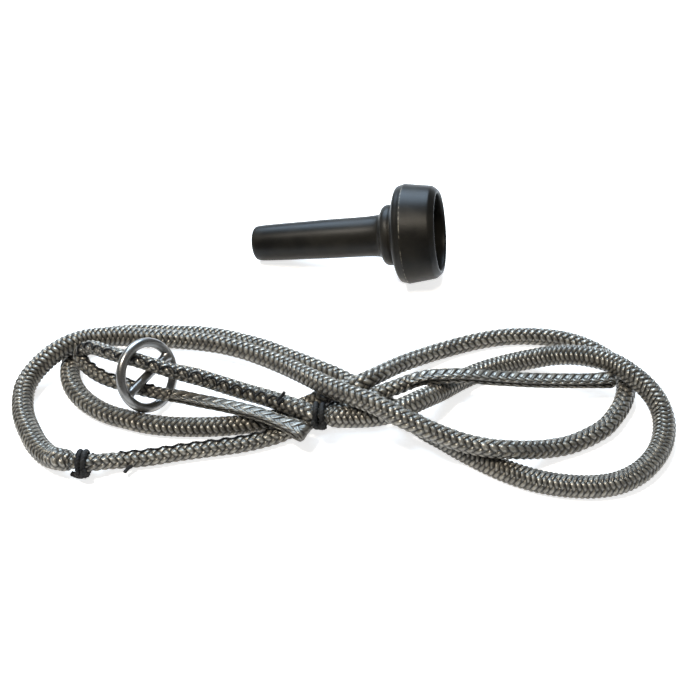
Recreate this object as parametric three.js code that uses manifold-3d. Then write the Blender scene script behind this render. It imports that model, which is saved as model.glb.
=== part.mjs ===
// Elastic retrieval lanyard with a slide ring, lying in a flattened figure-eight
// hank, and the hollow rubber catch cone that belongs to it, lying beside it.
//
// Millimetres, +Z up. The floor is z = 0, +X runs along the hank to the end with
// the wide turn, +Y points to the side where the cone lies. The origin is the
// middle of the whole object's outline on the floor.
//
// One braided sheath makes the whole cord. Between the two whippings it holds a
// rubber core and is 10 mm thick. Beyond each whipping the core stops and the
// sheath goes on as a thinner tail that is turned back into a flat eye; its end
// is buried inside the tail and locked there with stitches.

import * as THREE from 'three';
import * as BufferGeometryUtils from 'three/addons/utils/BufferGeometryUtils.js';
import Module from 'manifold-3d';

const wasm = await Module();
wasm.setup();

// ---------------------------------------------------------------- dimensions
const FIT = 0.3;                 // running clearance between touching pieces

// elastic cord (hank)
const CORD_DIAMETER = 10;
const SHEATH_WALL = 1.7;
const CORD_SIDES = 10;
const BORE_SIDES = 6;
const CORE_SIDES = 6;
const CORD_STEP = 11.5;          // longest step along the hank
const LEAST_SELF_GAP = 0.4;      // what the hank keeps to itself

// sewn tails
const TAIL_DIAMETER = 7.5;
const TAIL_WALL = 1.25;
const TAIL_STEP = 6;
const TAIL_STRAIGHT = 8;         // straight run of a tail out of its whipping

// flat eyes at the ends of the tails
const EYE_WIDTH = 7;
const EYE_THICKNESS = 2.6;       // of one leg
const EYE_LEG_GAP = 0.5;         // between the two legs
const EYE_STEP = 7;

// whippings
const WHIP_CORD = 3;
const WHIP_TURNS = 1.9;
const WHIP_PITCH = 3.5;
const WHIP_SIDES = 7;
const WHIP_STEPS_PER_TURN = 18;
const KNOT_REACH = 4.4;          // how far the knot's ends reach from its middle

// slide ring with its welded crossbar
const RING_OUTER = 40;
const RING_WIRE = 5;
const BAR_WIRE = 5;
const RING_CENTRE = [-98, -33.2, 19.4];
const RING_AXIS = [0.782, -0.426, 0.448];
const BAR_ALONG = [0.458, 0.883, 0.044];

// catch cone
const CONE_LENGTH = 114;
const STEM_TIP_RADIUS = 10.5;
const STEM_END_RADIUS = 12.7;
const STEM_LENGTH = 80;
const COLLAR_RADIUS = 17.8;
const COLLAR_WIDTH = 7.2;
const BELL_RADIUS = 29.2;
const BELL_CREST = 94.8;          // where the bell is widest, from the stem's tip
const LIP_RADIUS = 24.9;
const MOUTH_RADIUS = 22.4;
const BELL_WALL = 4.8;
const BORE_RADIUS = 6.5;
const EDGE_ROUND = 2;
const CONE_TIP = [-51.4, 85.6];  // where the stem's tip stands, on the floor plan
const CONE_YAW = -9.3;          // degrees, turned towards the hank
const CONE_SEGMENTS = 40;

// whippings: middle, and the way from the thick cord to the tail
const WHIP_1 = { at: [-123.5, -81.6, 7.7], along: [1, -0.12, -0.05], knot: [0, -0.85, -0.35] };
const WHIP_2 = { at: [-9.3, -57.9, 15.3], along: [-0.985, 0.17, 0], knot: [0.1, -0.9, -0.3] };

// ------------------------------------------------------------- route of cords
// Middle of the cord, point by point, from whipping 1 round to whipping 2.
const HANK_ROUTE = [
  [-141, -76, 5], [-149, -68.5, 4], [-155.5, -59, 4], [-161, -49, 4], [-164, -39, 4.5],
  [-164.5, -30.5, 6], [-162, -23.5, 8], [-157, -17.5, 11], [-151, -12.5, 13.5], [-144, -8, 15],
  [-136, -4, 15], [-127, -2.5, 15], [-117.5, -1.5, 14.5], [-106.5, -1.5, 13.5], [-96, -1, 12.5],
  [-85.5, -0.5, 11], [-75, -1, 10], [-63.5, -3, 9.5], [-50.5, -7.5, 9.5], [-37.5, -15, 11],
  [-25.5, -24, 13.5], [-14.5, -35, 18], [-5, -44.5, 21.5], [3.5, -51.5, 24], [12, -57, 26],
  [20.5, -62, 26], [30.5, -67, 24], [40.5, -70.5, 21], [51.5, -73, 17], [62.5, -76, 15],
  [74, -78.5, 14.5], [82.5, -78.5, 13.5], [92.5, -76, 10], [105, -71.5, 5.5], [115.5, -68, 4],
  [126, -63, 4], [135, -57, 4], [142.5, -48.5, 4], [148.5, -39, 4], [152, -29, 4],
  [151.5, -19, 4], [148, -10, 4], [141.5, -2.5, 4], [132, 4, 4], [120.5, 8, 4],
  [107, 9.5, 4], [93, 9, 4], [78.5, 6, 4], [65, 1.5, 4], [52, -4.5, 5],
  [40.5, -12, 7.5], [30.5, -20, 10.5], [21.5, -29, 14], [12.5, -35.5, 15], [5, -37.5, 13],
  [-1, -38, 10.5], [-7.5, -39, 7.5], [-13.5, -41, 5], [-19.5, -43.5, 4], [-26.5, -47.5, 4],
  [-34.5, -52, 4], [-46.5, -54.5, 4], [-58.5, -56, 4], [-72, -56.5, 4], [-85, -56, 4],
  [-96.5, -54.5, 4], [-107, -51.5, 4], [-117.5, -48, 4], [-127, -42.5, 4], [-135.5, -35, 4],
  [-141.5, -26, 4], [-144.5, -16.5, 4], [-144.5, -8, 4], [-142, 0.5, 4], [-136, 6.5, 4],
  [-127, 10, 4], [-116, 11.5, 4], [-105, 11.5, 4], [-92, 11, 4], [-79, 10.5, 4],
  [-66.5, 8.5, 4], [-53, 4.5, 4], [-40, -0.5, 4], [-26.5, -7.5, 4], [-14, -14, 4],
  [-2, -20.5, 4], [9, -28, 4], [19, -35.5, 4], [28, -43.5, 4], [36.5, -51, 4],
  [44.5, -58.5, 4], [53.5, -65, 4], [61.5, -71, 4], [71.5, -78, 4], [82.5, -84.5, 4],
  [95.5, -90, 4], [109.5, -93, 4], [122.5, -93.5, 4], [134, -91.5, 4], [145, -86, 4],
  [154, -78, 4], [161, -68, 4], [164.5, -58.5, 5.5], [165, -51, 7.5], [163, -44.5, 10.5],
  [159, -38, 13], [152.5, -30.5, 15], [145, -22.5, 15], [135.5, -17.5, 14.5], [126, -13.5, 12.5],
  [115.5, -11, 9.5], [103, -11, 6.5], [90, -13, 4.5], [77, -18, 4.5], [65, -25, 5],
  [53, -36.5, 9], [42.5, -46.5, 13.8], [34, -52.5, 15], [25, -57, 15], [16, -59, 15],
];
// Tail 1 after its whipping, to the end of its stitching.
const TAIL_1_ROUTE = [
  [-111, -79, 5.2], [-104, -77.5, 4], [-92, -76, 4], [-77.5, -73, 4], [-63, -70.5, 4], [-48.5, -68, 4],
  [-38, -65, 4], [-29, -61.5, 4], [-20, -56, 4], [-11, -51, 4], [-3, -47, 5], [4, -46, 7.5],
  [11.5, -45, 11], [18, -43.5, 13], [24, -40.5, 13.5], [31.5, -37.5, 14],
];
// Its eye, from the stitching to the far end.
const EYE_1_ROUTE = [
  [37, -35.5, 15], [41, -35, 16.5], [46, -35, 18], [55, -35, 19], [66.5, -34, 18], [77.5, -32.5, 15],
  [88, -31.5, 13], [100, -31, 11.5], [116, -30.5, 10.5], [130.5, -30.5, 10.5], [141.6, -30, 10.5],
];
// Tail 2 after its whipping, through the ring, round the fold and back.
const TAIL_2_ROUTE = [
  [-19, -53.5, 15], [-24, -51, 14.5], [-35.5, -45, 13], [-47.5, -40.5, 13], [-59, -37.5, 15],
  [-70, -36, 18.5], [-78, -35, 20.5], [-85.5, -34.5, 22.5], [-94.5, -33, 25], [-103.5, -31.5, 27.5],
  [-112, -29.5, 28.5], [-120, -25, 27], [-127, -20, 24.5], [-132, -17, 21], [-135.5, -17, 18],
  [-136, -18.5, 16], [-134, -21.5, 14.5], [-130, -25.5, 14], [-123.5, -30.5, 14], [-117, -34, 14],
  [-108, -36.5, 13], [-99.5, -38.5, 12], [-90.5, -40.5, 11.5],
];
const EYE_2_ROUTE = [
  [-85, -41.5, 11.3], [-80, -42.5, 11.3], [-70, -45.5, 11.6], [-58, -49, 12.2], [-46.5, -53, 13],
  [-38, -56, 13], [-29.5, -59.5, 12.2], [-22.5, -62.5, 11.4], [-17.5, -65, 11],
];

// ------------------------------------------------------------------ materials
const material = (name, color, roughness, metalness) =>
  Object.assign(new THREE.MeshStandardMaterial({ color, roughness, metalness }), { name });
const BRAID = material('braid', 0x9a968c, 0.55, 0.0);
const TAIL_BRAID = material('tail_braid', 0x958f82, 0.55, 0.0);
const CORE_RUBBER = material('core_rubber', 0x5a5348, 0.85, 0.0);
const BLACK_CORD = material('black_cord', 0x17181a, 0.7, 0.0);
const STEEL = material('steel', 0x8d8f90, 0.3, 1.0);
const CONE_RUBBER = material('cone_rubber', 0x1f2022, 0.5, 0.0);

// -------------------------------------------------------------------- helpers
const vec = (a) => new THREE.Vector3(...a);
const UP = new THREE.Vector3(0, 0, 1);

/** A path whose points and cross directions are given one by one. */
class SweepPath extends THREE.Curve {
  constructor(points, tangents, normals) {
    super();
    this.points = points;
    this.tangents = tangents;
    this.normals = normals;
    this.binormals = tangents.map((t, i) => t.clone().cross(normals[i]).normalize());
  }
  get steps() { return this.points.length - 1; }
  getSpacedPoints() { return this.points; }
  getPoint(t) { return this.points[Math.round(t * this.steps)]; }
  computeFrenetFrames() {
    return { tangents: this.tangents, normals: this.normals, binormals: this.binormals };
  }
}

/** Walk a curve in steps that shorten where it bends. */
function walk(curve, longest, angle = 0.34, shortest = 1.6) {
  const total = curve.getLength();
  const at = [0];
  while (at[at.length - 1] < total) {
    const s = at[at.length - 1];
    const here = curve.getTangentAt(Math.min(1, s / total));
    const reach = Math.min(total, s + longest);
    const bend = Math.max(
      here.angleTo(curve.getTangentAt(reach / total)),
      2 * here.angleTo(curve.getTangentAt((s + reach) / 2 / total)));
    const step = Math.max(shortest, Math.min(longest, bend > angle ? longest * angle / bend : longest));
    at.push(s + step);
  }
  const scale = total / at[at.length - 1];
  return at.map((s) => Math.min(1, s * scale / total));
}

/** A stretch of another curve, from one share of its length to another. */
class Stretch extends THREE.Curve {
  constructor(curve, from, to) {
    super();
    Object.assign(this, { curve, from, to });
  }
  getLength() { return this.curve.getLength() * (this.to - this.from); }
  getPointAt(u) { return this.curve.getPointAt(Math.min(1, this.from + u * (this.to - this.from))); }
  getTangentAt(u) { return this.curve.getTangentAt(Math.min(1, this.from + u * (this.to - this.from))); }
}

/** The smooth middle line through a route's points. */
function cordLine(points) {
  const curve = new THREE.CatmullRomCurve3(points.map((p) => (p.isVector3 ? p : vec(p))), false, 'centripetal');
  curve.arcLengthDivisions = 4000;
  return curve;
}

/** How far along a line, as a share of its length, it comes nearest to a point. */
function shareAt(curve, point) {
  const n = 2000;
  let best = 0, least = Infinity;
  for (let i = 0; i <= n; i++) {
    const d = curve.getPointAt(i / n).distanceTo(point);
    if (d < least) { least = d; best = i / n; }
  }
  return best;
}

/** The upright path of a lying cord: its cross directions stay level and upright. */
function cordPath(curve, longest) {
  const stations = walk(curve, longest);
  const pts = stations.map((u) => curve.getPointAt(u));
  const tangents = stations.map((u) => curve.getTangentAt(u).normalize());
  const normals = tangents.map((t) => {
    const side = t.clone().cross(UP).normalize();
    return side.cross(t).normalize();
  });
  return new SweepPath(pts, tangents, normals);
}

/** Outline of a round section with flat sides, first side level. */
function roundShape(radius, sides, holeRadius = 0, holeSides = 6) {
  const ring = (r, n) => Array.from({ length: n }, (_, i) => {
    const a = (2 * Math.PI * (i + 0.5)) / n;
    return new THREE.Vector2(r * Math.cos(a), r * Math.sin(a));
  });
  const shape = new THREE.Shape(ring(radius, sides));
  if (holeRadius) shape.holes.push(new THREE.Path(ring(holeRadius, holeSides)));
  return shape;
}

/** Outline of a flattened sheath: level width, upright thickness. */
function flatShape(width, thickness) {
  const w = width / 2, t = thickness / 2;
  return new THREE.Shape([
    [t, -w * 0.62], [t, w * 0.62], [t * 0.5, w], [-t * 0.5, w],
    [-t, w * 0.62], [-t, -w * 0.62], [-t * 0.5, -w], [t * 0.5, -w],
  ].map((p) => new THREE.Vector2(...p)));
}

const sweep = (shape, path) => new THREE.ExtrudeGeometry(shape, { steps: path.steps, extrudePath: path, bevelEnabled: false });

function toSolid(geometry) {
  const g = geometry.clone();
  g.deleteAttribute('normal');
  g.deleteAttribute('uv');
  const m = BufferGeometryUtils.mergeVertices(g, 1e-4);
  return new wasm.Manifold(new wasm.Mesh({
    numProp: 3,
    vertProperties: Float32Array.from(m.attributes.position.array),
    triVerts: Uint32Array.from(m.index.array),
  }));
}

function toGeometry(solid) {
  const mesh = solid.getMesh();
  const g = new THREE.BufferGeometry();
  g.setAttribute('position', new THREE.BufferAttribute(Float32Array.from(mesh.vertProperties), 3));
  g.setIndex(new THREE.BufferAttribute(Uint32Array.from(mesh.triVerts), 1));
  g.computeVertexNormals();
  return g;
}

/** Cut off whatever reaches below the floor, so the piece lies on flats. */
function layOnFloor(geometry) {
  const box = new THREE.BoxGeometry(600, 600, 40);
  box.translate(0, 0, -20);
  return toGeometry(toSolid(geometry).subtract(toSolid(box)));
}

const group = new THREE.Group();
function add(name, geometry, look, parent = group) {
  const mesh = new THREE.Mesh(geometry, look);
  mesh.name = name;
  parent.add(mesh);
  return mesh;
}

// ------------------------------------------------------- where cords are held
const whipWidth = WHIP_TURNS * WHIP_PITCH + WHIP_CORD;
const cordEnd = whipWidth / 2 + FIT;                 // thick cord stops here
const whipAlong = (w) => vec(w.along).normalize();
const atWhip = (w, distance) => vec(w.at).addScaledVector(whipAlong(w), distance);

// ------------------------------------------------------------------- the hank
const hankPath = cordPath(cordLine([
  atWhip(WHIP_1, -cordEnd), atWhip(WHIP_1, -cordEnd - CORD_DIAMETER / 2),
  ...HANK_ROUTE,
  atWhip(WHIP_2, -cordEnd - CORD_DIAMETER / 2), atWhip(WHIP_2, -cordEnd),
]), CORD_STEP);

const boreRadius = CORD_DIAMETER / 2 - SHEATH_WALL;
const coreRadius = boreRadius * Math.cos(Math.PI / BORE_SIDES) - FIT;

add('elastic_cord_sheath',
  layOnFloor(sweep(roundShape(CORD_DIAMETER / 2, CORD_SIDES, boreRadius, BORE_SIDES), hankPath)), BRAID);
add('rubber_core', sweep(roundShape(coreRadius, CORE_SIDES), hankPath), CORE_RUBBER);

// -------------------------------------------------------------- the two tails
const tailBore = TAIL_DIAMETER / 2 - TAIL_WALL;
const buriedRadius = tailBore * Math.cos(Math.PI / BORE_SIDES) - FIT;

/** Eye: one flat sheath out to the end, folded under itself and back. */
function eyePath(line) {
  const middle = cordPath(line, EYE_STEP);
  const half = (EYE_THICKNESS + EYE_LEG_GAP) / 2;
  const base = middle.points;
  const last = base.length - 1;
  const points = [], tangents = [], normals = [];
  const put = (p, t, n) => { points.push(p); tangents.push(t.clone().normalize()); normals.push(n.clone().normalize()); };
  base.forEach((p, i) => put(p.clone().addScaledVector(middle.normals[i], half), middle.tangents[i], middle.normals[i]));
  const t = middle.tangents[last], n = middle.normals[last];
  for (let i = 1; i < 6; i++) {
    const a = (Math.PI * i) / 6;
    const out = n.clone().multiplyScalar(Math.cos(a)).addScaledVector(t, Math.sin(a));
    const ahead = t.clone().multiplyScalar(Math.cos(a)).addScaledVector(n, -Math.sin(a));
    put(base[last].clone().addScaledVector(out, half), ahead, out);
  }
  for (let i = last; i >= 0; i--) {
    put(base[i].clone().addScaledVector(middle.normals[i], -half), middle.tangents[i].clone().negate(), middle.normals[i].clone().negate());
  }
  return new SweepPath(points, tangents, normals);
}

function tail(number, whip, route, eyeRoute) {
  const line = cordLine([
    atWhip(whip, -cordEnd + FIT), atWhip(whip, 0), atWhip(whip, TAIL_STRAIGHT - cordEnd + FIT), ...route, ...eyeRoute,
  ]);
  const sewn = shareAt(line, vec(eyeRoute[0]));      // the stitching ends here
  const path = cordPath(new Stretch(line, 0, sewn), TAIL_STEP);
  const eyeLine = new Stretch(line, sewn + FIT / line.getLength(), 1);
  add(`tail_${number}_sleeve`,
    sweep(roundShape(TAIL_DIAMETER / 2, 8, tailBore, BORE_SIDES), path), TAIL_BRAID);
  add(`tail_${number}_buried_end`, sweep(roundShape(buriedRadius, BORE_SIDES), path), TAIL_BRAID);
  add(`tail_${number}_eye`, sweep(flatShape(EYE_WIDTH, EYE_THICKNESS), eyePath(eyeLine)), TAIL_BRAID);
}
tail(1, WHIP_1, TAIL_1_ROUTE, EYE_1_ROUTE);
tail(2, WHIP_2, TAIL_2_ROUTE, EYE_2_ROUTE);

// --------------------------------------------------------------- the whippings
const whipRadius = TAIL_DIAMETER / 2 + FIT + WHIP_CORD / 2;

/** A cord wound round the joint, with its knot and two cut ends on one side. */
function whipping(name, whip) {
  const along = whipAlong(whip);
  const knotSide = vec(whip.knot).addScaledVector(along, -vec(whip.knot).dot(along)).normalize();
  const third = along.clone().cross(knotSide).normalize();
  const centre = vec(whip.at);
  const place = (x, angle, radius) => centre.clone().addScaledVector(along, x)
    .addScaledVector(knotSide, radius * Math.cos(angle)).addScaledVector(third, radius * Math.sin(angle));
  const points = [], tangents = [], normals = [];
  const count = Math.round(WHIP_TURNS * WHIP_STEPS_PER_TURN);
  const rise = WHIP_PITCH / (2 * Math.PI);
  for (let i = 0; i <= count; i++) {
    const a = (2 * Math.PI * WHIP_TURNS * i) / count + Math.PI * (1 - WHIP_TURNS);
    const x = (WHIP_TURNS * WHIP_PITCH) * (i / count - 0.5);
    points.push(place(x, a, whipRadius));
    const outward = place(0, a, 1).sub(centre).normalize();
    normals.push(outward);
    tangents.push(outward.clone().cross(along).multiplyScalar(-whipRadius).addScaledVector(along, rise).normalize());
  }
  const turns = toSolid(sweep(roundShape(WHIP_CORD / 2, WHIP_SIDES), new SweepPath(points, tangents, normals)));
  // the knot: two short strands that cross over the turns, and their cut ends
  const strand = (list) => toSolid(sweep(roundShape(WHIP_CORD / 2, WHIP_SIDES),
    crossPath(list.map(([x, y, lift]) => centre.clone().addScaledVector(along, x)
      .addScaledVector(third, y).addScaledVector(knotSide, whipRadius + lift)), knotSide)));
  const k = KNOT_REACH;
  const knot = strand([[-k * 0.75, -k, -0.8], [-k * 0.3, -k * 0.3, 1.1], [k * 0.3, k * 0.3, 1.4], [k * 0.75, k, 0]])
    .add(strand([[k * 0.75, -k * 0.9, -0.8], [k * 0.3, -k * 0.3, 1.4], [-k * 0.3, k * 0.3, 1.1], [-k * 0.75, k * 0.9, 0]]));
  // nothing of the cord reaches into the tail or the thick cord's end
  const keepOut = toSolid(sweep(roundShape(TAIL_DIAMETER / 2 + FIT, 16), straightPath(atWhip(whip, -30), atWhip(whip, 30), knotSide)));
  const body = turns.add(knot).subtract(keepOut);
  add(name, toGeometry(body), BLACK_CORD);
  const gap = points[WHIP_STEPS_PER_TURN].distanceTo(points[0]) - WHIP_CORD;
  console.log(`${name}: least gap between its turns ${gap.toFixed(2)} mm`);
}

function crossPath(list, side) {
  const curve = new THREE.CatmullRomCurve3(list, false, 'centripetal');
  const n = 7;
  const pts = [], tangents = [], normals = [];
  for (let i = 0; i <= n; i++) {
    const t = curve.getTangentAt(i / n).normalize();
    pts.push(curve.getPointAt(i / n));
    tangents.push(t);
    normals.push(side.clone().addScaledVector(t, -side.dot(t)).normalize());
  }
  return new SweepPath(pts, tangents, normals);
}

function straightPath(a, b, side) {
  const t = b.clone().sub(a).normalize();
  const n = side.clone().addScaledVector(t, -side.dot(t)).normalize();
  return new SweepPath([a, b], [t, t.clone()], [n, n.clone()]);
}
whipping('whipping_1', WHIP_1);
whipping('whipping_2', WHIP_2);

// -------------------------------------------------------------- the slide ring
const ring = new THREE.Group();
{
  const axis = vec(RING_AXIS).normalize();
  const bar = vec(BAR_ALONG);
  bar.addScaledVector(axis, -bar.dot(axis)).normalize();
  const across = axis.clone().cross(bar);
  ring.matrixAutoUpdate = false;
  ring.matrix.makeBasis(bar, across, axis).setPosition(...RING_CENTRE);
  group.add(ring);
  const ringMiddle = (RING_OUTER - RING_WIRE) / 2;
  add('slide_ring', new THREE.TorusGeometry(ringMiddle, RING_WIRE / 2, 12, 44), STEEL, ring);
  // the bar's ends are coped to the ring they are welded to
  const rod = new THREE.CylinderGeometry(BAR_WIRE / 2, BAR_WIRE / 2, 2 * ringMiddle, 14);
  rod.rotateZ(Math.PI / 2);
  const cope = new THREE.TorusGeometry(ringMiddle, RING_WIRE / 2 + FIT, 24, 60);
  add('ring_crossbar', toGeometry(toSolid(rod).subtract(toSolid(cope))), STEEL, ring);
}

// -------------------------------------------------------------- the catch cone
{
  const e = EDGE_ROUND;
  const taper = (s) => STEM_TIP_RADIUS + (STEM_END_RADIUS - STEM_TIP_RADIUS) * (s / STEM_LENGTH);
  const collarEnd = STEM_LENGTH + COLLAR_WIDTH;
  const rise = BELL_RADIUS - COLLAR_RADIUS;
  const inner = BELL_RADIUS - BELL_WALL;
  const L = CONE_LENGTH;
  const outline = [
    [BORE_RADIUS + 0.5, 0], [STEM_TIP_RADIUS - e, 0], [STEM_TIP_RADIUS - 0.6 * e, 0.12 * e],
    [STEM_TIP_RADIUS - 0.2 * e, 0.45 * e], [STEM_TIP_RADIUS, e],
    [taper(STEM_LENGTH * 0.5), STEM_LENGTH * 0.5], [STEM_END_RADIUS, STEM_LENGTH - 1.6],
    [STEM_END_RADIUS + 0.9, STEM_LENGTH - 0.3],
    [COLLAR_RADIUS - 2.2, STEM_LENGTH + 0.4], [COLLAR_RADIUS - 0.8, STEM_LENGTH + 1.4],
    [COLLAR_RADIUS, STEM_LENGTH + 3.2], [COLLAR_RADIUS, collarEnd - 1.6],
    [COLLAR_RADIUS - 0.5, collarEnd - 0.5], [COLLAR_RADIUS - 0.3, collarEnd + 0.1],
    [COLLAR_RADIUS + 0.26 * rise, collarEnd + 0.8], [COLLAR_RADIUS + 0.64 * rise, collarEnd + 1.8],
    [COLLAR_RADIUS + 0.89 * rise, collarEnd + 3.3], [BELL_RADIUS - 0.3, BELL_CREST - 1.6],
    [BELL_RADIUS, BELL_CREST], [BELL_RADIUS - 0.4, L - 14], [BELL_RADIUS - 1.4, L - 7.5],
    [LIP_RADIUS + 1.4, L - 3], [LIP_RADIUS + 0.4, L - 1.1], [(LIP_RADIUS + MOUTH_RADIUS) / 2, L],
    [MOUTH_RADIUS + 0.3, L - 0.7], [MOUTH_RADIUS, L - 2], [MOUTH_RADIUS + 0.5, L - 8],
    [inner - 0.4, L - 14], [inner - 0.6, BELL_CREST + 1], [inner - 3, BELL_CREST - 2],
    [inner - 8, BELL_CREST - 4.4], [BORE_RADIUS + 3, BELL_CREST - 6.4], [BORE_RADIUS + 0.7, BELL_CREST - 7.8],
    [BORE_RADIUS, BELL_CREST - 10], [BORE_RADIUS, 0.6],
  ].map(([r, s]) => new THREE.Vector2(r, s));
  outline.push(outline[0].clone());
  const cone = new THREE.LatheGeometry(outline, CONE_SEGMENTS);
  // lying on the stem's tip edge and on the bell's rear shoulder
  const lean = Math.max(...outline.filter((p) => p.y > STEM_LENGTH)
    .map((p) => Math.atan((p.x - STEM_TIP_RADIUS) / (p.y - e))));
  const yaw = THREE.MathUtils.degToRad(CONE_YAW);
  const along = new THREE.Vector3(Math.cos(yaw) * Math.cos(lean), Math.sin(yaw) * Math.cos(lean), Math.sin(lean));
  const side = along.clone().cross(UP).normalize();
  const top = side.clone().cross(along).normalize();
  const holder = new THREE.Group();
  holder.matrixAutoUpdate = false;
  const tipHeight = Math.cos(lean) * (STEM_TIP_RADIUS - e * Math.tan(lean));
  holder.matrix.makeBasis(top, along, side.clone().negate()).setPosition(CONE_TIP[0], CONE_TIP[1], tipHeight);
  group.add(holder);
  add('catch_cone', cone, CONE_RUBBER, holder);
}

// --------------------------------------------------------------------- reports
{
  // least gap of the hank to itself, on points along the straight steps
  const pts = [];
  const s = [];
  let run = 0;
  hankPath.points.forEach((p, i) => {
    if (i === 0) return;
    const a = hankPath.points[i - 1];
    const d = a.distanceTo(p);
    const n = Math.max(1, Math.round(d / 1));
    for (let j = 0; j < n; j++) { pts.push(a.clone().lerp(p, j / n)); s.push(run + (d * j) / n); }
    run += d;
  });
  let least = Infinity, where = null;
  for (let i = 0; i < pts.length; i++) {
    for (let j = i + 1; j < pts.length; j++) {
      if (s[j] - s[i] < 3.2 * CORD_DIAMETER) continue;
      const d = pts[i].distanceTo(pts[j]);
      if (d < least) { least = d; where = [i, j]; }
    }
  }
  const gap = least - CORD_DIAMETER;
  console.log(`elastic_cord_sheath: length ${run.toFixed(0)} mm, least gap to itself ${gap.toFixed(2)} mm`
    + ` (wanted over ${LEAST_SELF_GAP}) at ${pts[where[0]].toArray().map((v) => v.toFixed(0))}`);
}

export default group;
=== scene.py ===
"""Looks of an elastic retrieval lanyard in its hank, its slide ring and its catch cone.

Everything is in metres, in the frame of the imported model: the floor is z = 0,
+X runs along the hank and +Y points to the side where the cone lies.
"""

from __future__ import annotations

import logging
import math
from dataclasses import dataclass
from enum import Enum
from typing import Callable, Optional, Sequence

import bmesh
import bpy
import numpy as np
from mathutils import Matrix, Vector

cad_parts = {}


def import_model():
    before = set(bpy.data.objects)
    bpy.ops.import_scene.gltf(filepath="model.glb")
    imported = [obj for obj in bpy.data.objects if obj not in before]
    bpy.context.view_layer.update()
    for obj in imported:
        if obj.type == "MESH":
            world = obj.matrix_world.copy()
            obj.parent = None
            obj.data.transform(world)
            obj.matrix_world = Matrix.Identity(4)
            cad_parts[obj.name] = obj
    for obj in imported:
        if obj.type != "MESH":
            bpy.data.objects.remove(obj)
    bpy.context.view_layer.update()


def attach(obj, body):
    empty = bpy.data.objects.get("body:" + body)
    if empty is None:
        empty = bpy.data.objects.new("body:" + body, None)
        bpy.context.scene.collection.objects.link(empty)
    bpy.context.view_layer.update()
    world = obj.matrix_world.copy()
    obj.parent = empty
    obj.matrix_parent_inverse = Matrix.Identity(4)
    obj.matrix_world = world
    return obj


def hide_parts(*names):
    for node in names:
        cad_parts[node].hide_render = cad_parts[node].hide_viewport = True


LOG = logging.getLogger("lanyard")
MM = 0.001
UP = np.array([0.0, 0.0, 1.0])
Points = Sequence[Sequence[float]]
Colour = tuple[float, float, float]
Place = tuple[float, float, float]
CLEARANCE = 0.1 * MM  # how far the cords' undersides stay over the floor
PROUD = 0.3 * MM  # how much wider than its nominal size a braid is across its picks
UV_MAP = "Braid"

# Where the cords run: the middle line, in millimetres.
HANK_ROUTE: Points = (
    (-141, -76, 5), (-149, -68.5, 4), (-155.5, -59, 4), (-161, -49, 4), (-164, -39, 4.5),
    (-164.5, -30.5, 6), (-162, -23.5, 8), (-157, -17.5, 11), (-151, -12.5, 13.5), (-144, -8, 15),
    (-136, -4, 15), (-127, -2.5, 15), (-117.5, -1.5, 14.5), (-106.5, -1.5, 13.5), (-96, -1, 12.5),
    (-85.5, -0.5, 11), (-75, -1, 10), (-63.5, -3, 9.5), (-50.5, -7.5, 9.5), (-37.5, -15, 11),
    (-25.5, -24, 13.5), (-14.5, -35, 18), (-5, -44.5, 21.5), (3.5, -51.5, 24), (12, -57, 26),
    (20.5, -62, 26), (30.5, -67, 24), (40.5, -70.5, 21), (51.5, -73, 17), (62.5, -76, 15),
    (74, -78.5, 14.5), (82.5, -78.5, 13.5), (92.5, -76, 10), (105, -71.5, 5.5), (115.5, -68, 4),
    (126, -63, 4), (135, -57, 4), (142.5, -48.5, 4), (148.5, -39, 4), (152, -29, 4),
    (151.5, -19, 4), (148, -10, 4), (141.5, -2.5, 4), (132, 4, 4), (120.5, 8, 4),
    (107, 9.5, 4), (93, 9, 4), (78.5, 6, 4), (65, 1.5, 4), (52, -4.5, 5),
    (40.5, -12, 7.5), (30.5, -20, 10.5), (21.5, -29, 14), (12.5, -35.5, 15), (5, -37.5, 13),
    (-1, -38, 10.5), (-7.5, -39, 7.5), (-13.5, -41, 5), (-19.5, -43.5, 4), (-26.5, -47.5, 4),
    (-34.5, -52, 4), (-46.5, -54.5, 4), (-58.5, -56, 4), (-72, -56.5, 4), (-85, -56, 4),
    (-96.5, -54.5, 4), (-107, -51.5, 4), (-117.5, -48, 4), (-127, -42.5, 4), (-135.5, -35, 4),
    (-141.5, -26, 4), (-144.5, -16.5, 4), (-144.5, -8, 4), (-142, 0.5, 4), (-136, 6.5, 4),
    (-127, 10, 4), (-116, 11.5, 4), (-105, 11.5, 4), (-92, 11, 4), (-79, 10.5, 4),
    (-66.5, 8.5, 4), (-53, 4.5, 4), (-40, -0.5, 4), (-26.5, -7.5, 4), (-14, -14, 4),
    (-2, -20.5, 4), (9, -28, 4), (19, -35.5, 4), (28, -43.5, 4), (36.5, -51, 4),
    (44.5, -58.5, 4), (53.5, -65, 4), (61.5, -71, 4), (71.5, -78, 4), (82.5, -84.5, 4),
    (95.5, -90, 4), (109.5, -93, 4), (122.5, -93.5, 4), (134, -91.5, 4), (145, -86, 4),
    (154, -78, 4), (161, -68, 4), (164.5, -58.5, 5.5), (165, -51, 7.5), (163, -44.5, 10.5),
    (159, -38, 13), (152.5, -30.5, 15), (145, -22.5, 15), (135.5, -17.5, 14.5), (126, -13.5, 12.5),
    (115.5, -11, 9.5), (103, -11, 6.5), (90, -13, 4.5), (77, -18, 4.5), (65, -25, 5),
    (53, -36.5, 9), (42.5, -46.5, 13.8), (34, -52.5, 15), (25, -57, 15), (16, -59, 15),
)
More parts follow.
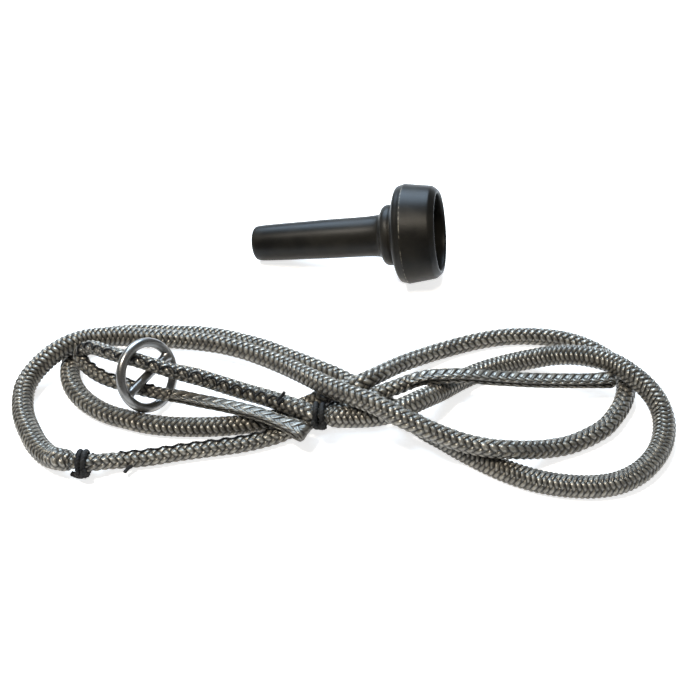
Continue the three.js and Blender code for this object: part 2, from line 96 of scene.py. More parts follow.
TAIL_1_ROUTE: Points = (
    (-111, -79, 5.2), (-104, -77.5, 4), (-92, -76, 4), (-77.5, -73, 4), (-63, -70.5, 4), (-48.5, -68, 4),
    (-38, -65, 4), (-29, -61.5, 4), (-20, -56, 4), (-11, -51, 4), (-3, -47, 5), (4, -46, 7.5),
    (11.5, -45, 11), (18, -43.5, 13), (24, -40.5, 13.5), (31.5, -37.5, 14),
)
EYE_1_ROUTE: Points = (
    (37, -35.5, 15), (41, -35, 16.5), (46, -35, 18), (55, -35, 19), (66.5, -34, 18), (77.5, -32.5, 15),
    (88, -31.5, 13), (100, -31, 11.5), (116, -30.5, 10.5), (130.5, -30.5, 10.5), (141.6, -30, 10.5),
)
TAIL_2_ROUTE: Points = (
    (-19, -53.5, 15), (-24, -51, 14.5), (-35.5, -45, 13), (-47.5, -40.5, 13), (-59, -37.5, 15),
    (-70, -36, 18.5), (-78, -35, 20.5), (-85.5, -34.5, 22.5), (-94.5, -33, 25), (-103.5, -31.5, 27.5),
    (-112, -29.5, 28.5), (-120, -25, 27), (-127, -20, 24.5), (-132, -17, 21), (-135.5, -17, 18),
    (-136, -18.5, 16), (-134, -21.5, 14.5), (-130, -25.5, 14), (-123.5, -30.5, 14), (-117, -34, 14),
    (-108, -36.5, 13), (-99.5, -38.5, 12), (-90.5, -40.5, 11.5),
)
EYE_2_ROUTE: Points = (
    (-85, -41.5, 11.3), (-80, -42.5, 11.3), (-70, -45.5, 11.6), (-58, -49, 12.2), (-46.5, -53, 13),
    (-38, -56, 13), (-29.5, -59.5, 12.2), (-22.5, -62.5, 11.4), (-17.5, -65, 11),
)


# ------------------------------------------------------------------ geometry
def unit(vectors: np.ndarray) -> np.ndarray:
    """Scale vectors to length one along their last axis."""
    return vectors / np.linalg.norm(vectors, axis=-1, keepdims=True)


def smooth_line(points: Points | np.ndarray, step: float) -> np.ndarray:
    """Run a centripetal spline through points and space it evenly.

    Args:
        points: The points of the route, in metres.
        step: The spacing wanted along the line, in metres.

    Returns:
        The evenly spaced line, one point a row.
    """
    p = np.asarray(points, float)
    q = np.vstack([2 * p[0] - p[1], p, 2 * p[-1] - p[-2]])
    rows: list[np.ndarray] = []
    for p0, p1, p2, p3 in zip(q, q[1:], q[2:], q[3:]):
        k = [0.0]
        for a, b in ((p0, p1), (p1, p2), (p2, p3)):
            k.append(k[-1] + math.sqrt(np.linalg.norm(b - a)))
        t = np.linspace(k[1], k[2], 24, endpoint=False)[:, None]
        a1 = (k[1] - t) / (k[1] - k[0]) * p0 + (t - k[0]) / (k[1] - k[0]) * p1
        a2 = (k[2] - t) / (k[2] - k[1]) * p1 + (t - k[1]) / (k[2] - k[1]) * p2
        a3 = (k[3] - t) / (k[3] - k[2]) * p2 + (t - k[2]) / (k[3] - k[2]) * p3
        b1 = (k[2] - t) / (k[2] - k[0]) * a1 + (t - k[0]) / (k[2] - k[0]) * a2
        b2 = (k[3] - t) / (k[3] - k[1]) * a2 + (t - k[1]) / (k[3] - k[1]) * a3
        rows.append((k[2] - t) / (k[2] - k[1]) * b1 + (t - k[1]) / (k[2] - k[1]) * b2)
    return evenly(np.vstack(rows + [p[-1:]]), step)


def evenly(line: np.ndarray, step: float) -> np.ndarray:
    """Space the points of a polyline evenly.

    Args:
        line: The polyline, one point a row, with any number of columns.
        step: About how far apart the new points are.

    Returns:
        The evenly spaced points.
    """
    s = travel(line)
    n = max(2, int(round(s[-1] / step)) + 1)
    at = np.linspace(0, s[-1], n)
    return np.stack([np.interp(at, s, column) for column in line.T], axis=1)


def travel(line: np.ndarray) -> np.ndarray:
    """Give the distance run along a polyline at each of its points."""
    return np.concatenate([[0.0], np.cumsum(np.linalg.norm(np.diff(line, axis=0), axis=1))])


def length_of(line: np.ndarray) -> float:
    """Give the length of a polyline."""
    return float(travel(line)[-1])


@dataclass
class Sweep:
    """A line with a level side and an upright normal at each point."""

    line: np.ndarray
    tangent: np.ndarray
    normal: np.ndarray
    side: np.ndarray

    @classmethod
    def lying(cls, line: np.ndarray) -> "Sweep":
        """Build the directions of a cord that lies on the floor.

        Args:
            line: The middle line.

        Returns:
            The line with a level side at each point.
        """
        tangent = unit(np.gradient(line, axis=0))
        side = unit(np.cross(tangent, UP))
        return cls(line, tangent, np.cross(side, tangent), side)

    @classmethod
    def free(cls, line: np.ndarray, first: np.ndarray) -> "Sweep":
        """Carry a first normal along a free line without twisting it.

        Args:
            line: The middle line.
            first: About where the first normal points.

        Returns:
            The line with its directions.
        """
        tangent = unit(np.gradient(line, axis=0))
        normal = np.empty_like(line)
        n = np.asarray(first, float)
        for k, t in enumerate(tangent):
            n = n - (n @ t) * t
            n = n / np.linalg.norm(n)
            normal[k] = n
        return cls(line, tangent, normal, np.cross(tangent, normal))

    def part(self, first: int, last: int) -> "Sweep":
        """Cut out the points from first up to last."""
        cut = slice(first, last)
        return Sweep(self.line[cut], self.tangent[cut], self.normal[cut], self.side[cut])


def new_object(name: str, mesh: bpy.types.Mesh) -> bpy.types.Object:
    """Link a mesh to the scene as an object at the origin.

    Args:
        name: The object's name.
        mesh: The mesh.

    Returns:
        The object.
    """
    obj = bpy.data.objects.new(name, mesh)
    bpy.context.scene.collection.objects.link(obj)
    return obj


def grid_mesh(name: str, rings: np.ndarray, u: np.ndarray, closed: bool = False) -> bpy.types.Mesh:
    """Skin rings of points into a smooth tube with a UV map for its braid.

    Args:
        name: The mesh's name.
        rings: Points, as rings by sides by three.
        u: The distance along the tube of each ring, in millimetres.
        closed: Whether the last ring joins the first, so that no end needs a cap.

    Returns:
        The mesh, with its faces pointing out.
    """
    n, m, _ = rings.shape
    verts = rings.reshape(-1, 3)
    i = np.arange(n if closed else n - 1)[:, None]
    j = np.arange(m)[None, :]
    i2, j2 = (i + 1) % n, (j + 1) % m
    corners = (i * m + j, i * m + j2, i2 * m + j2, i2 * m + j)
    faces: list[list[int]] = np.stack(corners, -1).reshape(-1, 4).tolist()
    uv = np.stack(
        [
            np.stack([np.broadcast_to(value, (len(i), m)) for value in axis], -1)
            for axis in ((u[i], u[i], u[i2], u[i2]), (j / m, (j + 1) / m, (j + 1) / m, j / m))
        ],
        -1,
    ).reshape(-1, 2)
    if not closed:
        verts = np.vstack([verts, rings[0].mean(0), rings[-1].mean(0)])
        caps: list[tuple[float, float]] = []
        for pole, ring, first in ((n * m, 0, 1), (n * m + 1, n - 1, 0)):
            for k in range(m):
                pair = (k + first, k + 1 - first)
                faces.append([pole, *(ring * m + a % m for a in pair)])
                caps += [(u[ring], 0.5), *((u[ring], a / m) for a in pair)]
        uv = np.vstack([uv, np.array(caps)])
    mesh = bpy.data.meshes.new(name)
    mesh.from_pydata(verts.tolist(), [], faces)
    layer = mesh.uv_layers.new(name=UV_MAP)
    layer.data.foreach_set("uv", uv.astype(np.float32).ravel())
    mesh.polygons.foreach_set("use_smooth", [True] * len(mesh.polygons))
    outward(mesh)
    mesh.update()
    return mesh


def outward(mesh: bpy.types.Mesh) -> None:
    """Turn the faces of a closed mesh outwards, by the sign of its volume.

    Args:
        mesh: The mesh.
    """
    bm = bmesh.new()
    bm.from_mesh(mesh)
    if bm.calc_volume(signed=True) < 0:
        bmesh.ops.reverse_faces(bm, faces=bm.faces)
    bm.to_mesh(mesh)
    bm.free()


def joined(name: str, objects: Sequence[bpy.types.Object]) -> bpy.types.Object:
    """Join objects into one new object and remove them.

    Args:
        name: The new object's name.
        objects: The objects to join.

    Returns:
        The new object.
    """
    bm = bmesh.new()
    for obj in objects:
        bm.from_mesh(obj.data)
    mesh = bpy.data.meshes.new(name)
    bm.to_mesh(mesh)
    bm.free()
    for obj in objects:
        old = obj.data
        bpy.data.objects.remove(obj)
        bpy.data.meshes.remove(old)
    return new_object(name, mesh)


def skinned(
    name: str, sweep: Sweep, up: np.ndarray, level: np.ndarray, u: np.ndarray
) -> bpy.types.Object:
    """Skin a changing section along a sweep, kept clear of the floor.

    Args:
        name: The object's name.
        sweep: The line and its directions.
        up: How far each point lies along the normal, rings by sides.
        level: How far each point lies along the side, rings by sides.
        u: The distance along of each ring, in millimetres.

    Returns:
        The tube.
    """
    rings = (
        sweep.line[:, None, :]
        + up[..., None] * sweep.normal[:, None, :]
        + level[..., None] * sweep.side[:, None, :]
    )
    rings[..., 2] = np.maximum(rings[..., 2], CLEARANCE)
    return new_object(name, grid_mesh(name, rings, u))


def laid_cord(name: str, sweep: Sweep, radius: float, lay: float) -> bpy.types.Object:
    """Build a cord of three twisted strands with rounded ends along a sweep.

    Args:
        name: The object's name.
        sweep: The line and its directions.
        radius: Radius of the cord, in metres.
        lay: Length of one turn of its strands, in metres.

    Returns:
        The cord.
    """
    strands, furrow, sides, blunt_end = 3, 0.34, 24, 0.5
    s = travel(sweep.line)
    a = 2 * np.pi * np.arange(sides) / sides
    lobes = np.abs(np.cos(strands / 2 * (a[None, :] - 2 * np.pi * s[:, None] / lay)))
    blunt = np.clip(np.minimum(s, s[-1] - s) / (blunt_end * radius), 0, 1)
    taper = np.sqrt(np.clip(1 - (1 - blunt) ** 2, 0.05, 1))[:, None]
    r = radius * (1 - furrow * (1 - lobes)) * taper
    return skinned(name, sweep, r * np.cos(a), r * np.sin(a), s / MM)


class ThreadTree:
    """Geometry Nodes that turn drawn lines into round sewing thread."""

    step: float = 0.4 * MM
    sides: int = 8

    def __init__(self) -> None:
        """Build the tree with its named inputs."""
        self.tree = bpy.data.node_groups.new("sewing_thread", "GeometryNodeTree")
        for name, kind, way in (
            ("Lines", "Geometry", "INPUT"), ("Thread Radius", "Float", "INPUT"),
            ("Step", "Float", "INPUT"), ("Sides", "Int", "INPUT"),
            ("Finish", "Material", "INPUT"), ("Thread", "Geometry", "OUTPUT"),
        ):
            self.tree.interface.new_socket(name=name, in_out=way, socket_type=f"NodeSocket{kind}")
        new = self.tree.nodes.new
        source, sink = new("NodeGroupInput"), new("NodeGroupOutput")
        curve, resample, ring, sweep, smooth, real, paint = (
            new(f"GeometryNode{kind}")
            for kind in (
                "MeshToCurve", "ResampleCurve", "CurvePrimitiveCircle", "CurveToMesh",
                "SetShadeSmooth", "RealizeInstances", "SetMaterial",
            )
        )
        resample.mode = "LENGTH"
        sweep.inputs["Fill Caps"].default_value = True
        for giver, output, taker, socket in (
            (source, "Lines", curve, "Mesh"), (curve, "Curve", resample, "Curve"),
            (source, "Step", resample, "Length"), (source, "Sides", ring, "Resolution"),
            (source, "Thread Radius", ring, "Radius"), (resample, "Curve", sweep, "Curve"),
            (ring, "Curve", sweep, "Profile Curve"), (sweep, "Mesh", smooth, "Geometry"),
            (smooth, "Geometry", real, "Geometry"), (real, "Geometry", paint, "Geometry"),
            (source, "Finish", paint, "Material"), (paint, "Geometry", sink, "Thread"),
        ):
            self.tree.links.new(giver.outputs[output], taker.inputs[socket])

    def spin(
        self, name: str, lines: Sequence[np.ndarray], radius: float, finish: bpy.types.Material
    ) -> bpy.types.Object:
        """Run the tree on lines and keep the result as a plain mesh.

        Args:
            name: The thread's name.
            lines: Polylines, one for each length of thread.
            radius: The thread's radius, in metres.
            finish: The thread's material.

        Returns:
            The thread.
        """
        edges: list[tuple[int, int]] = []
        first = 0
        for line in lines:
            edges += [(first + k, first + k + 1) for k in range(len(line) - 1)]
            first += len(line)
        mesh = bpy.data.meshes.new(f"{name}_lines")
        mesh.from_pydata(np.vstack(lines).tolist(), edges, [])
        drawn = new_object(f"{name}_lines", mesh)
        modifier = drawn.modifiers.new("thread", "NODES")
        modifier.node_group = self.tree
        values = {"Thread Radius": radius, "Step": self.step, "Sides": self.sides, "Finish": finish}
        for item in self.tree.interface.items_tree:
            if item.name in values:
                modifier[item.identifier] = values[item.name]
        bpy.context.view_layer.update()
        evaluated = drawn.evaluated_get(bpy.context.evaluated_depsgraph_get())
        baked = bpy.data.meshes.new_from_object(evaluated)
        baked.name = name
        drawn.modifiers.remove(modifier)
        bpy.data.objects.remove(drawn)
        bpy.data.meshes.remove(mesh)
        outward(baked)
        return new_object(name, baked)


# --------------------------------------------------------------------- weave
@dataclass(frozen=True)
class Weave:
    """A two-over-two braid: how many columns go round, and how close its picks lie.

    Attributes:
        columns: Columns of picks round the cord, an even number.
        pitch: Distance from pick to pick along the cord, in millimetres.
        relief: Height of a pick over its gaps, in metres.
        upright: How far the picks are turned across the cord, from 0 to 1.
        fullness: Power of a pick's arch, flatter on top the lower it is.
    """

    columns: int = 8
    pitch: float = 3.4
    relief: float = 0.7 * MM
    upright: float = 0.3
    fullness: float = 0.7

    def height(self, u: np.ndarray, v: np.ndarray) -> np.ndarray:
        """Give the braid's height, from 0 in the gaps to 1 on a pick.

        Args:
            u: Distance along the cord, in millimetres.
            v: Turn round the cord, from 0 to 1.

        Returns:
            The height at each point.
        """
        turn = self.columns * v
        run = u / self.pitch + self.upright * (1 - np.abs(np.mod(turn - 0.25, 2) - 1))
        a, b = turn + run, turn - run
        i, j = np.floor(a), np.floor(b)
        over = np.mod(i + j, 4) < 2
        across = np.where(over, b - j, a - i)
        along = np.where(over, np.mod(a + j, 4) / 2, (np.mod(b + i, 4) - 2) / 2)
        crown = np.sin(np.pi * np.clip(across, 0, 1)) ** self.fullness
        return crown * (0.4 + 0.6 * np.sin(np.pi * np.clip(along, 0, 1)) ** self.fullness)


class Section(Enum):
    """How a sheath's section is filled."""

    ROUND = "round"
    FLAT = "flat"


def section_points(kind: Section, sides: int, width: float, depth: float) -> np.ndarray:
    """Give a section's points as (upright, level) pairs.

    Args:
        kind: Round, or flattened.
        sides: How many points.
        width: Level width, in metres.
        depth: Upright thickness, in metres.

    Returns:
        The points of the section.
    """
    a = 2 * np.pi * np.arange(sides) / sides
    c, s = np.cos(a), np.sin(a)
    if kind is Section.FLAT:
        c, s = np.sign(c) * np.abs(c) ** 0.6, np.sign(s) * np.abs(s) ** 0.6
    return np.stack([c * depth / 2, s * width / 2], axis=1)


def braided_tube(
    name: str,
    sweep: Sweep,
    weave: Weave,
    swell: Callable[[np.ndarray], np.ndarray],
    width: float,
    depth: Optional[float] = None,
    kind: Section = Section.ROUND,
    sides: int = 40,
    warp: Optional[Callable[[np.ndarray], np.ndarray]] = None,
) -> bpy.types.Object:
    """Build a braided sheath along a sweep.

    Args:
        name: The object's name.
        sweep: The line and its directions.
        weave: The braid.
        swell: Gives a factor on the section for each distance along, in metres.
        width: Level width, in metres.
        depth: Upright thickness, in metres; the width where it is left out.
        kind: The section.
        sides: Points round the section.
        warp: Turns the distance along, in millimetres, into distance along the
            weave, where its picks lie closer or wider than usual.

    Returns:
        The tube.
    """
    s = travel(sweep.line)
    section = section_points(kind, sides, width, depth or width)
    v = np.arange(sides) / sides
    u = warp(s / MM) if warp else s / MM
    height = weave.height(u[:, None], v[None, :])
    scale = 1 - weave.relief * (1 - height) / np.linalg.norm(section, axis=1)[None, :]
    scale = scale * swell(s)[:, None]
    return skinned(name, sweep, section[:, 0] * scale, section[:, 1] * scale, u)


# ------------------------------------------------------------------ materials
def math_node(tree: bpy.types.NodeTree, operation: str, *values: object) -> bpy.types.NodeSocket:
    """Add a Math node and give its output.

    Args:
        tree: The node tree.
        operation: The node's operation.
        values: A socket or a number for each input.

    Returns:
        The node's output socket.
    """
    node = tree.nodes.new("ShaderNodeMath")
    node.operation = operation
    for socket, value in zip(node.inputs, values):
        if isinstance(value, bpy.types.NodeSocket):
            tree.links.new(value, socket)
        else:
            socket.default_value = float(value)
    return node.outputs[0]


class ShaderGroup:
    """A shared shader node group with named inputs and outputs."""

    def __init__(
        self, name: str, inputs: dict[str, Optional[float]], outputs: Sequence[str]
    ) -> None:
        """Make the group's sockets.

        Args:
            name: The group's name.
            inputs: The default of each number that goes in; None for a vector.
            outputs: The names of the numbers that come out.
        """
        self.tree = bpy.data.node_groups.new(name, "ShaderNodeTree")
        for key, default in inputs.items():
            kind = "NodeSocketVector" if default is None else "NodeSocketFloat"
            socket = self.tree.interface.new_socket(name=key, in_out="INPUT", socket_type=kind)
            if default is not None:
                socket.default_value = default
        for key in outputs:
            self.tree.interface.new_socket(name=key, in_out="OUTPUT", socket_type="NodeSocketFloat")
        self.source = self.tree.nodes.new("NodeGroupInput")
        self.sink = self.tree.nodes.new("NodeGroupOutput")

    def math(self, operation: str, *values: object) -> bpy.types.NodeSocket:
        """Add a Math node inside the group."""
        return math_node(self.tree, operation, *values)

    def get(self, name: str) -> bpy.types.NodeSocket:
        """Give one of the group's inputs."""
        return self.source.outputs[name]

    def put(self, name: str, socket: bpy.types.NodeSocket) -> None:
        """Link a socket to one of the group's outputs."""
        self.tree.links.new(socket, self.sink.inputs[name])


def braid_group() -> bpy.types.NodeTree:
    """Build the group that draws the two-over-two braid from the Braid UV map.

    Returns:
        The node group, with Height, Yarn and Tone outputs.
    """
    g = ShaderGroup(
        "braid_picks",
        {"UV": None, "Columns": 8.0, "Pitch": 3.4, "Upright": 0.3, "Fullness": 0.7, "Yarns": 3.0},
        ("Height", "Yarn", "Tone"),
    )
    calc = g.math
    split = g.tree.nodes.new("ShaderNodeSeparateXYZ")
    g.tree.links.new(g.get("UV"), split.inputs[0])
    turn = calc("MULTIPLY", split.outputs[1], g.get("Columns"))
    zigzag = calc("FLOORED_MODULO", calc("SUBTRACT", turn, 0.25), 2.0)
    zigzag = calc("ABSOLUTE", calc("SUBTRACT", zigzag, 1.0))
    lean = calc("MULTIPLY", g.get("Upright"), calc("SUBTRACT", 1.0, zigzag))
    run = calc("ADD", calc("DIVIDE", split.outputs[0], g.get("Pitch")), lean)
    a, b = calc("ADD", turn, run), calc("SUBTRACT", turn, run)
    i, j = calc("FLOOR", a), calc("FLOOR", b)
    over = calc("LESS_THAN", calc("FLOORED_MODULO", calc("ADD", i, j), 4.0), 1.5)
    under = calc("SUBTRACT", 1.0, over)
    rising, falling = calc("ADD", a, j), calc("SUBTRACT", calc("ADD", b, i), 2.0)

    def pick(first: bpy.types.NodeSocket, second: bpy.types.NodeSocket) -> bpy.types.NodeSocket:
        """Take the first value where the rising strand is on top, else the second."""
        return calc("ADD", calc("MULTIPLY", first, over), calc("MULTIPLY", second, under))

    def bow(share: bpy.types.NodeSocket) -> bpy.types.NodeSocket:
        """Rise from 0 to 1 and back over a share that runs from 0 to 1."""
        sine = calc("MAXIMUM", calc("SINE", calc("MULTIPLY", share, math.pi)), 0.0)
        return calc("POWER", sine, g.get("Fullness"))

    across = pick(calc("FRACT", b), calc("FRACT", a))
    along = calc("MULTIPLY", calc("FLOORED_MODULO", pick(rising, falling), 4.0), 0.5)
    arch = calc("ADD", 0.4, calc("MULTIPLY", 0.6, bow(along)))
    g.put("Height", calc("MULTIPLY", bow(across), arch))
    wave = calc("SINE", calc("MULTIPLY", calc("MULTIPLY", across, g.get("Yarns")), 2 * math.pi))
    g.put("Yarn", calc("ADD", 0.5, calc("MULTIPLY", wave, 0.5)))
    noise = g.tree.nodes.new("ShaderNodeTexWhiteNoise")
    noise.noise_dimensions = "1D"

    def seed(
        column: bpy.types.NodeSocket, strand: bpy.types.NodeSocket, near: float, far: float
    ) -> bpy.types.NodeSocket:
        """Give every pick a number of its own.

        Args:
            column: The pick's column.
            strand: Distance along its strand.
            near: What a column counts for.
            far: What a row counts for.

        Returns:
            The number.
        """
        row = calc("FLOOR", calc("DIVIDE", strand, 4.0))
        return calc("ADD", calc("MULTIPLY", column, near), calc("MULTIPLY", row, far))

    tone = pick(seed(j, rising, 1.37, 7.31), seed(i, falling, 2.11, 5.17))
    g.tree.links.new(tone, noise.inputs["W"])
    g.put("Tone", noise.outputs["Value"])
    return g.tree


def grain_group() -> bpy.types.NodeTree:
    """Build the group that gives a fine grain and slow blotches on Object coordinates.

    Returns:
        The node group, with Grain and Blotch outputs.
    """
    g = ShaderGroup("fine_grain", {"Grain Scale": 900.0, "Blotch Scale": 40.0}, ("Grain", "Blotch"))
    coords = g.tree.nodes.new("ShaderNodeTexCoord")
    for name, detail in (("Grain", 3.0), ("Blotch", 4.0)):
        noise = g.tree.nodes.new("ShaderNodeTexNoise")
        noise.inputs["Detail"].default_value = detail
        g.tree.links.new(coords.outputs["Object"], noise.inputs["Vector"])
        g.tree.links.new(g.get(f"{name} Scale"), noise.inputs["Scale"])
        g.put(name, noise.outputs["Fac"])
    return g.tree


class MaterialSheet:
    """A material being drawn: its tree, its Principled shader and short ways to add nodes."""

    def __init__(self, name: str) -> None:
        """Start a material with a Principled shader.

        Args:
            name: The material's name.
        """
        self.material = bpy.data.materials.new(name)
        self.material.use_nodes = True
        self.tree = self.material.node_tree
        self.shader = self.tree.nodes["Principled BSDF"]

    def node(self, kind: str, **inputs: object) -> bpy.types.Node:
        """Add a node and set or link its named inputs.

        Args:
            kind: The node's type.
            inputs: A value or a socket for each input, named with _ for a space.

        Returns:
            The node.
        """
        node = self.tree.nodes.new(kind)
        for key, value in inputs.items():
            self.feed(node.inputs[key.replace("_", " ")], value)
        return node

    def feed(self, socket: bpy.types.NodeSocket, value: object) -> None:
        """Link a socket, or set its value.

        Args:
            socket: The socket that takes it.
            value: A socket to link, or a value.
        """
        if isinstance(value, bpy.types.NodeSocket):
            self.tree.links.new(value, socket)
        else:
            socket.default_value = value

    def group(self, tree: bpy.types.NodeTree, **inputs: object) -> bpy.types.bpy_prop_collection:
        """Place a shared group with its own values.

        Args:
            tree: The group's tree.
            inputs: A value or a socket for each input, named with _ for a space.

        Returns:
            The group's outputs, by name.
        """
        node = self.tree.nodes.new("ShaderNodeGroup")
        node.node_tree = tree
        for key, value in inputs.items():
            self.feed(node.inputs[key.replace("_", " ")], value)
        return node.outputs

    def ramp(
        self, factor: bpy.types.NodeSocket, *stops: tuple[float, Colour]
    ) -> bpy.types.NodeSocket:
        """Turn a factor into a colour through a ramp.

        Args:
            factor: Where on the ramp the colour is read.
            stops: Places on the ramp with their colours.

        Returns:
            The colour.
        """
        node = self.tree.nodes.new("ShaderNodeValToRGB")
        elements = node.color_ramp.elements
        while len(elements) < len(stops):
            elements.new(0.5)
        for element, (at, colour) in zip(elements, stops):
            element.position = at
            element.color = (*colour, 1)
        self.tree.links.new(factor, node.inputs[0])
        return node.outputs[0]

    def mix(
        self, factor: object, first: object, second: object, blend: str = "MIX"
    ) -> bpy.types.NodeSocket:
        """Mix two colours.

        Args:
            factor: How much of the second colour there is.
            first: The first colour.
            second: The second colour.
            blend: How they blend.

        Returns:
            The mixed colour.
        """
        node = self.tree.nodes.new("ShaderNodeMix")
        node.data_type = "RGBA"
        node.blend_type = blend
        self.feed(node.inputs[0], factor)
        self.feed(node.inputs[6], first)
        self.feed(node.inputs[7], second)
        return node.outputs[2]

    def math(self, operation: str, *values: object) -> bpy.types.NodeSocket:
        """Add a Math node."""
        return math_node(self.tree, operation, *values)

    def spread(self, share: bpy.types.NodeSocket, low: float, reach: float) -> bpy.types.NodeSocket:
        """Turn a share of 0 to 1 into low to low plus reach."""
        return self.math("ADD", low, self.math("MULTIPLY", share, reach))

    def surface(self, **values: object) -> None:
        """Set or link the shader's own inputs, named with _ for a space."""
        for key, value in values.items():
            self.feed(self.shader.inputs[key.replace("_", " ")], value)

    def braid_map(self) -> bpy.types.NodeSocket:
        """Read the piece's UV map.

        Returns:
            Distance along, in millimetres, and turn round, from 0 to 1.
        """
        uv = self.tree.nodes.new("ShaderNodeUVMap")
        uv.uv_map = UV_MAP
        return uv.outputs[0]

    def bump(self, height: bpy.types.NodeSocket, distance: float, strength: float = 1.0) -> None:
        """Feed a height to the shader's normal through one more bump.

        Args:
            height: The height, from 0 to 1.
            distance: How high a height of 1 stands, in metres.
            strength: How strongly it shows.
        """
        node = self.node("ShaderNodeBump", Strength=strength, Distance=distance, Height=height)
        socket = self.shader.inputs["Normal"]
        if socket.is_linked:
            self.tree.links.new(socket.links[0].from_socket, node.inputs["Normal"])
        self.tree.links.new(node.outputs[0], socket)


@dataclass(frozen=True)
class BraidFinish:
    """Silky polyester sheath: colours from the gaps to the crests of its picks; the gap and flank
    colours are painted shade.
    """

    name: str
    weave: Weave
    # The gap and flank colours are painted shade, darker the deeper the braid lies; the crest colour is
    # the yarn's own.
    gap: Colour = (0.007, 0.006, 0.005)
    flank_shade: Colour = (0.062, 0.055, 0.043)
    crest: Colour = (0.225, 0.208, 0.175)
    roughness: float = 0.3
    metallic: float = 0.45

    def make(self, braid: bpy.types.NodeTree, grain: bpy.types.NodeTree) -> bpy.types.Material:
        """Draw the material.

        Args:
            braid: The group of the braid's picks.
            grain: The group of the fine grain.

        Returns:
            The material.
        """
        m = MaterialSheet(self.name)
        weave = self.weave
        picks = m.group(
            braid, UV=m.braid_map(), Columns=float(weave.columns), Pitch=weave.pitch,
            Upright=weave.upright, Fullness=weave.fullness,
        )
        fine = m.group(grain, Grain_Scale=1500.0, Blotch_Scale=35.0)
        # Painted shade: the pick height picks darker colours down the flanks and into the gaps, where
        # shade falls between picks.
        colour = m.ramp(picks["Height"], (0.12, self.gap), (0.42, self.flank_shade), (0.85, self.crest))
        tone, patch = m.spread(picks["Tone"], 0.68, 0.64), m.spread(fine["Blotch"], 0.85, 0.3)
        tone = m.math("MULTIPLY", tone, patch)
        shade = m.node("ShaderNodeCombineColor")
        for socket in shade.inputs[:3]:
            m.feed(socket, tone)
        m.surface(
            Base_Color=m.mix(1.0, colour, shade.outputs[0], "MULTIPLY"), Metallic=self.metallic,
            Roughness=m.spread(fine["Grain"], self.roughness - 0.1, 0.25),
            Specular_IOR_Level=0.9, Sheen_Weight=0.08, Sheen_Roughness=0.4,
        )
        m.bump(picks["Height"], 0.6 * MM, 1.0)
        m.bump(picks["Yarn"], 0.12 * MM, 0.9)
        m.bump(fine["Grain"], 0.05 * MM, 0.5)
        return m.material


@dataclass(frozen=True)
class LacingFinish:
    """Dull black lacing cord or thread, with its twist as a fine slanting rib."""

    name: str
    colour: Colour = (0.006, 0.006, 0.007)
    dust: Colour = (0.035, 0.034, 0.033)

    def make(self, grain: bpy.types.NodeTree) -> bpy.types.Material:
        """Draw the material.

        Args:
            grain: The group of the fine grain.

        Returns:
            The material.
        """
        m = MaterialSheet(self.name)
        fine = m.group(grain, Grain_Scale=1800.0, Blotch_Scale=220.0)
        m.surface(
            Base_Color=m.ramp(fine["Blotch"], (0.35, self.colour), (0.75, self.dust)),
            Roughness=m.spread(fine["Grain"], 0.45, 0.35), Specular_IOR_Level=0.2,
        )
        m.bump(fine["Grain"], 0.35 * MM, 1.0)
        m.bump(fine["Blotch"], 0.7 * MM, 0.8)
        return m.material


@dataclass(frozen=True)
class SteelFinish:
    """Satin steel wire, drawn and slightly handled."""

    name: str
    colour: Colour = (0.2, 0.198, 0.195)
    worn: Colour = (0.32, 0.31, 0.295)

    def make(self, grain: bpy.types.NodeTree) -> bpy.types.Material:
        """Draw the material.

        Args:
            grain: The group of the fine grain.

        Returns:
            The material.
        """
        m = MaterialSheet(self.name)
        fine = m.group(grain, Grain_Scale=1400.0, Blotch_Scale=90.0)
        m.surface(
            Base_Color=m.ramp(fine["Blotch"], (0.3, self.colour), (0.75, self.worn)),
            Roughness=m.spread(fine["Grain"], 0.2, 0.22), Metallic=1.0,
        )
        m.bump(fine["Grain"], 0.02 * MM, 0.4)
        return m.material


@dataclass(frozen=True)
class RubberFinish:
    """Smooth moulded black rubber with a fine skin, dust and a rubbed mould line.

    Attributes:
        seam: Where the mould line runs on the UV map, in millimetres along.
        seam_width: Half the width of that line, in millimetres.
    """

    name: str
    colour: Colour = (0.0055, 0.0052, 0.0045)
    dusty: Colour = (0.017, 0.0155, 0.0125)
    worn: Colour = (0.2, 0.187, 0.155)
    roughness: float = 0.35
    seam: Optional[float] = None
    seam_width: float = 0.42

    def make(self, grain: bpy.types.NodeTree) -> bpy.types.Material:
        """Draw the material.

        Args:
            grain: The group of the fine grain.

        Returns:
            The material.
        """
        m = MaterialSheet(self.name)
        fine = m.group(grain, Grain_Scale=1100.0, Blotch_Scale=55.0)
        colour = m.ramp(fine["Blotch"], (0.4, self.colour), (0.8, self.dusty))
        if self.seam is not None:
            split = m.node("ShaderNodeSeparateXYZ", Vector=m.braid_map())
            off = m.math("ABSOLUTE", m.math("SUBTRACT", split.outputs[0], self.seam))
            line = m.math("SUBTRACT", 1.0, m.math("DIVIDE", off, self.seam_width))
            rub = m.group(grain, Grain_Scale=420.0, Blotch_Scale=75.0)
            patchy = m.math("SUBTRACT", m.math("MULTIPLY", rub["Grain"], rub["Blotch"]), 0.17)
            patchy = m.math("MULTIPLY", m.math("MAXIMUM", patchy, 0.0), 5.0)
            mask = m.math("MULTIPLY", m.math("MAXIMUM", line, 0.0), patchy)
            colour = m.mix(m.math("MINIMUM", mask, 1.0), colour, (*self.worn, 1))
        m.surface(
            Base_Color=colour, Specular_IOR_Level=0.14,
            Roughness=m.spread(fine["Blotch"], self.roughness - 0.08, 0.25),
        )
        m.bump(fine["Grain"], 0.07 * MM, 0.5)
        return m.material


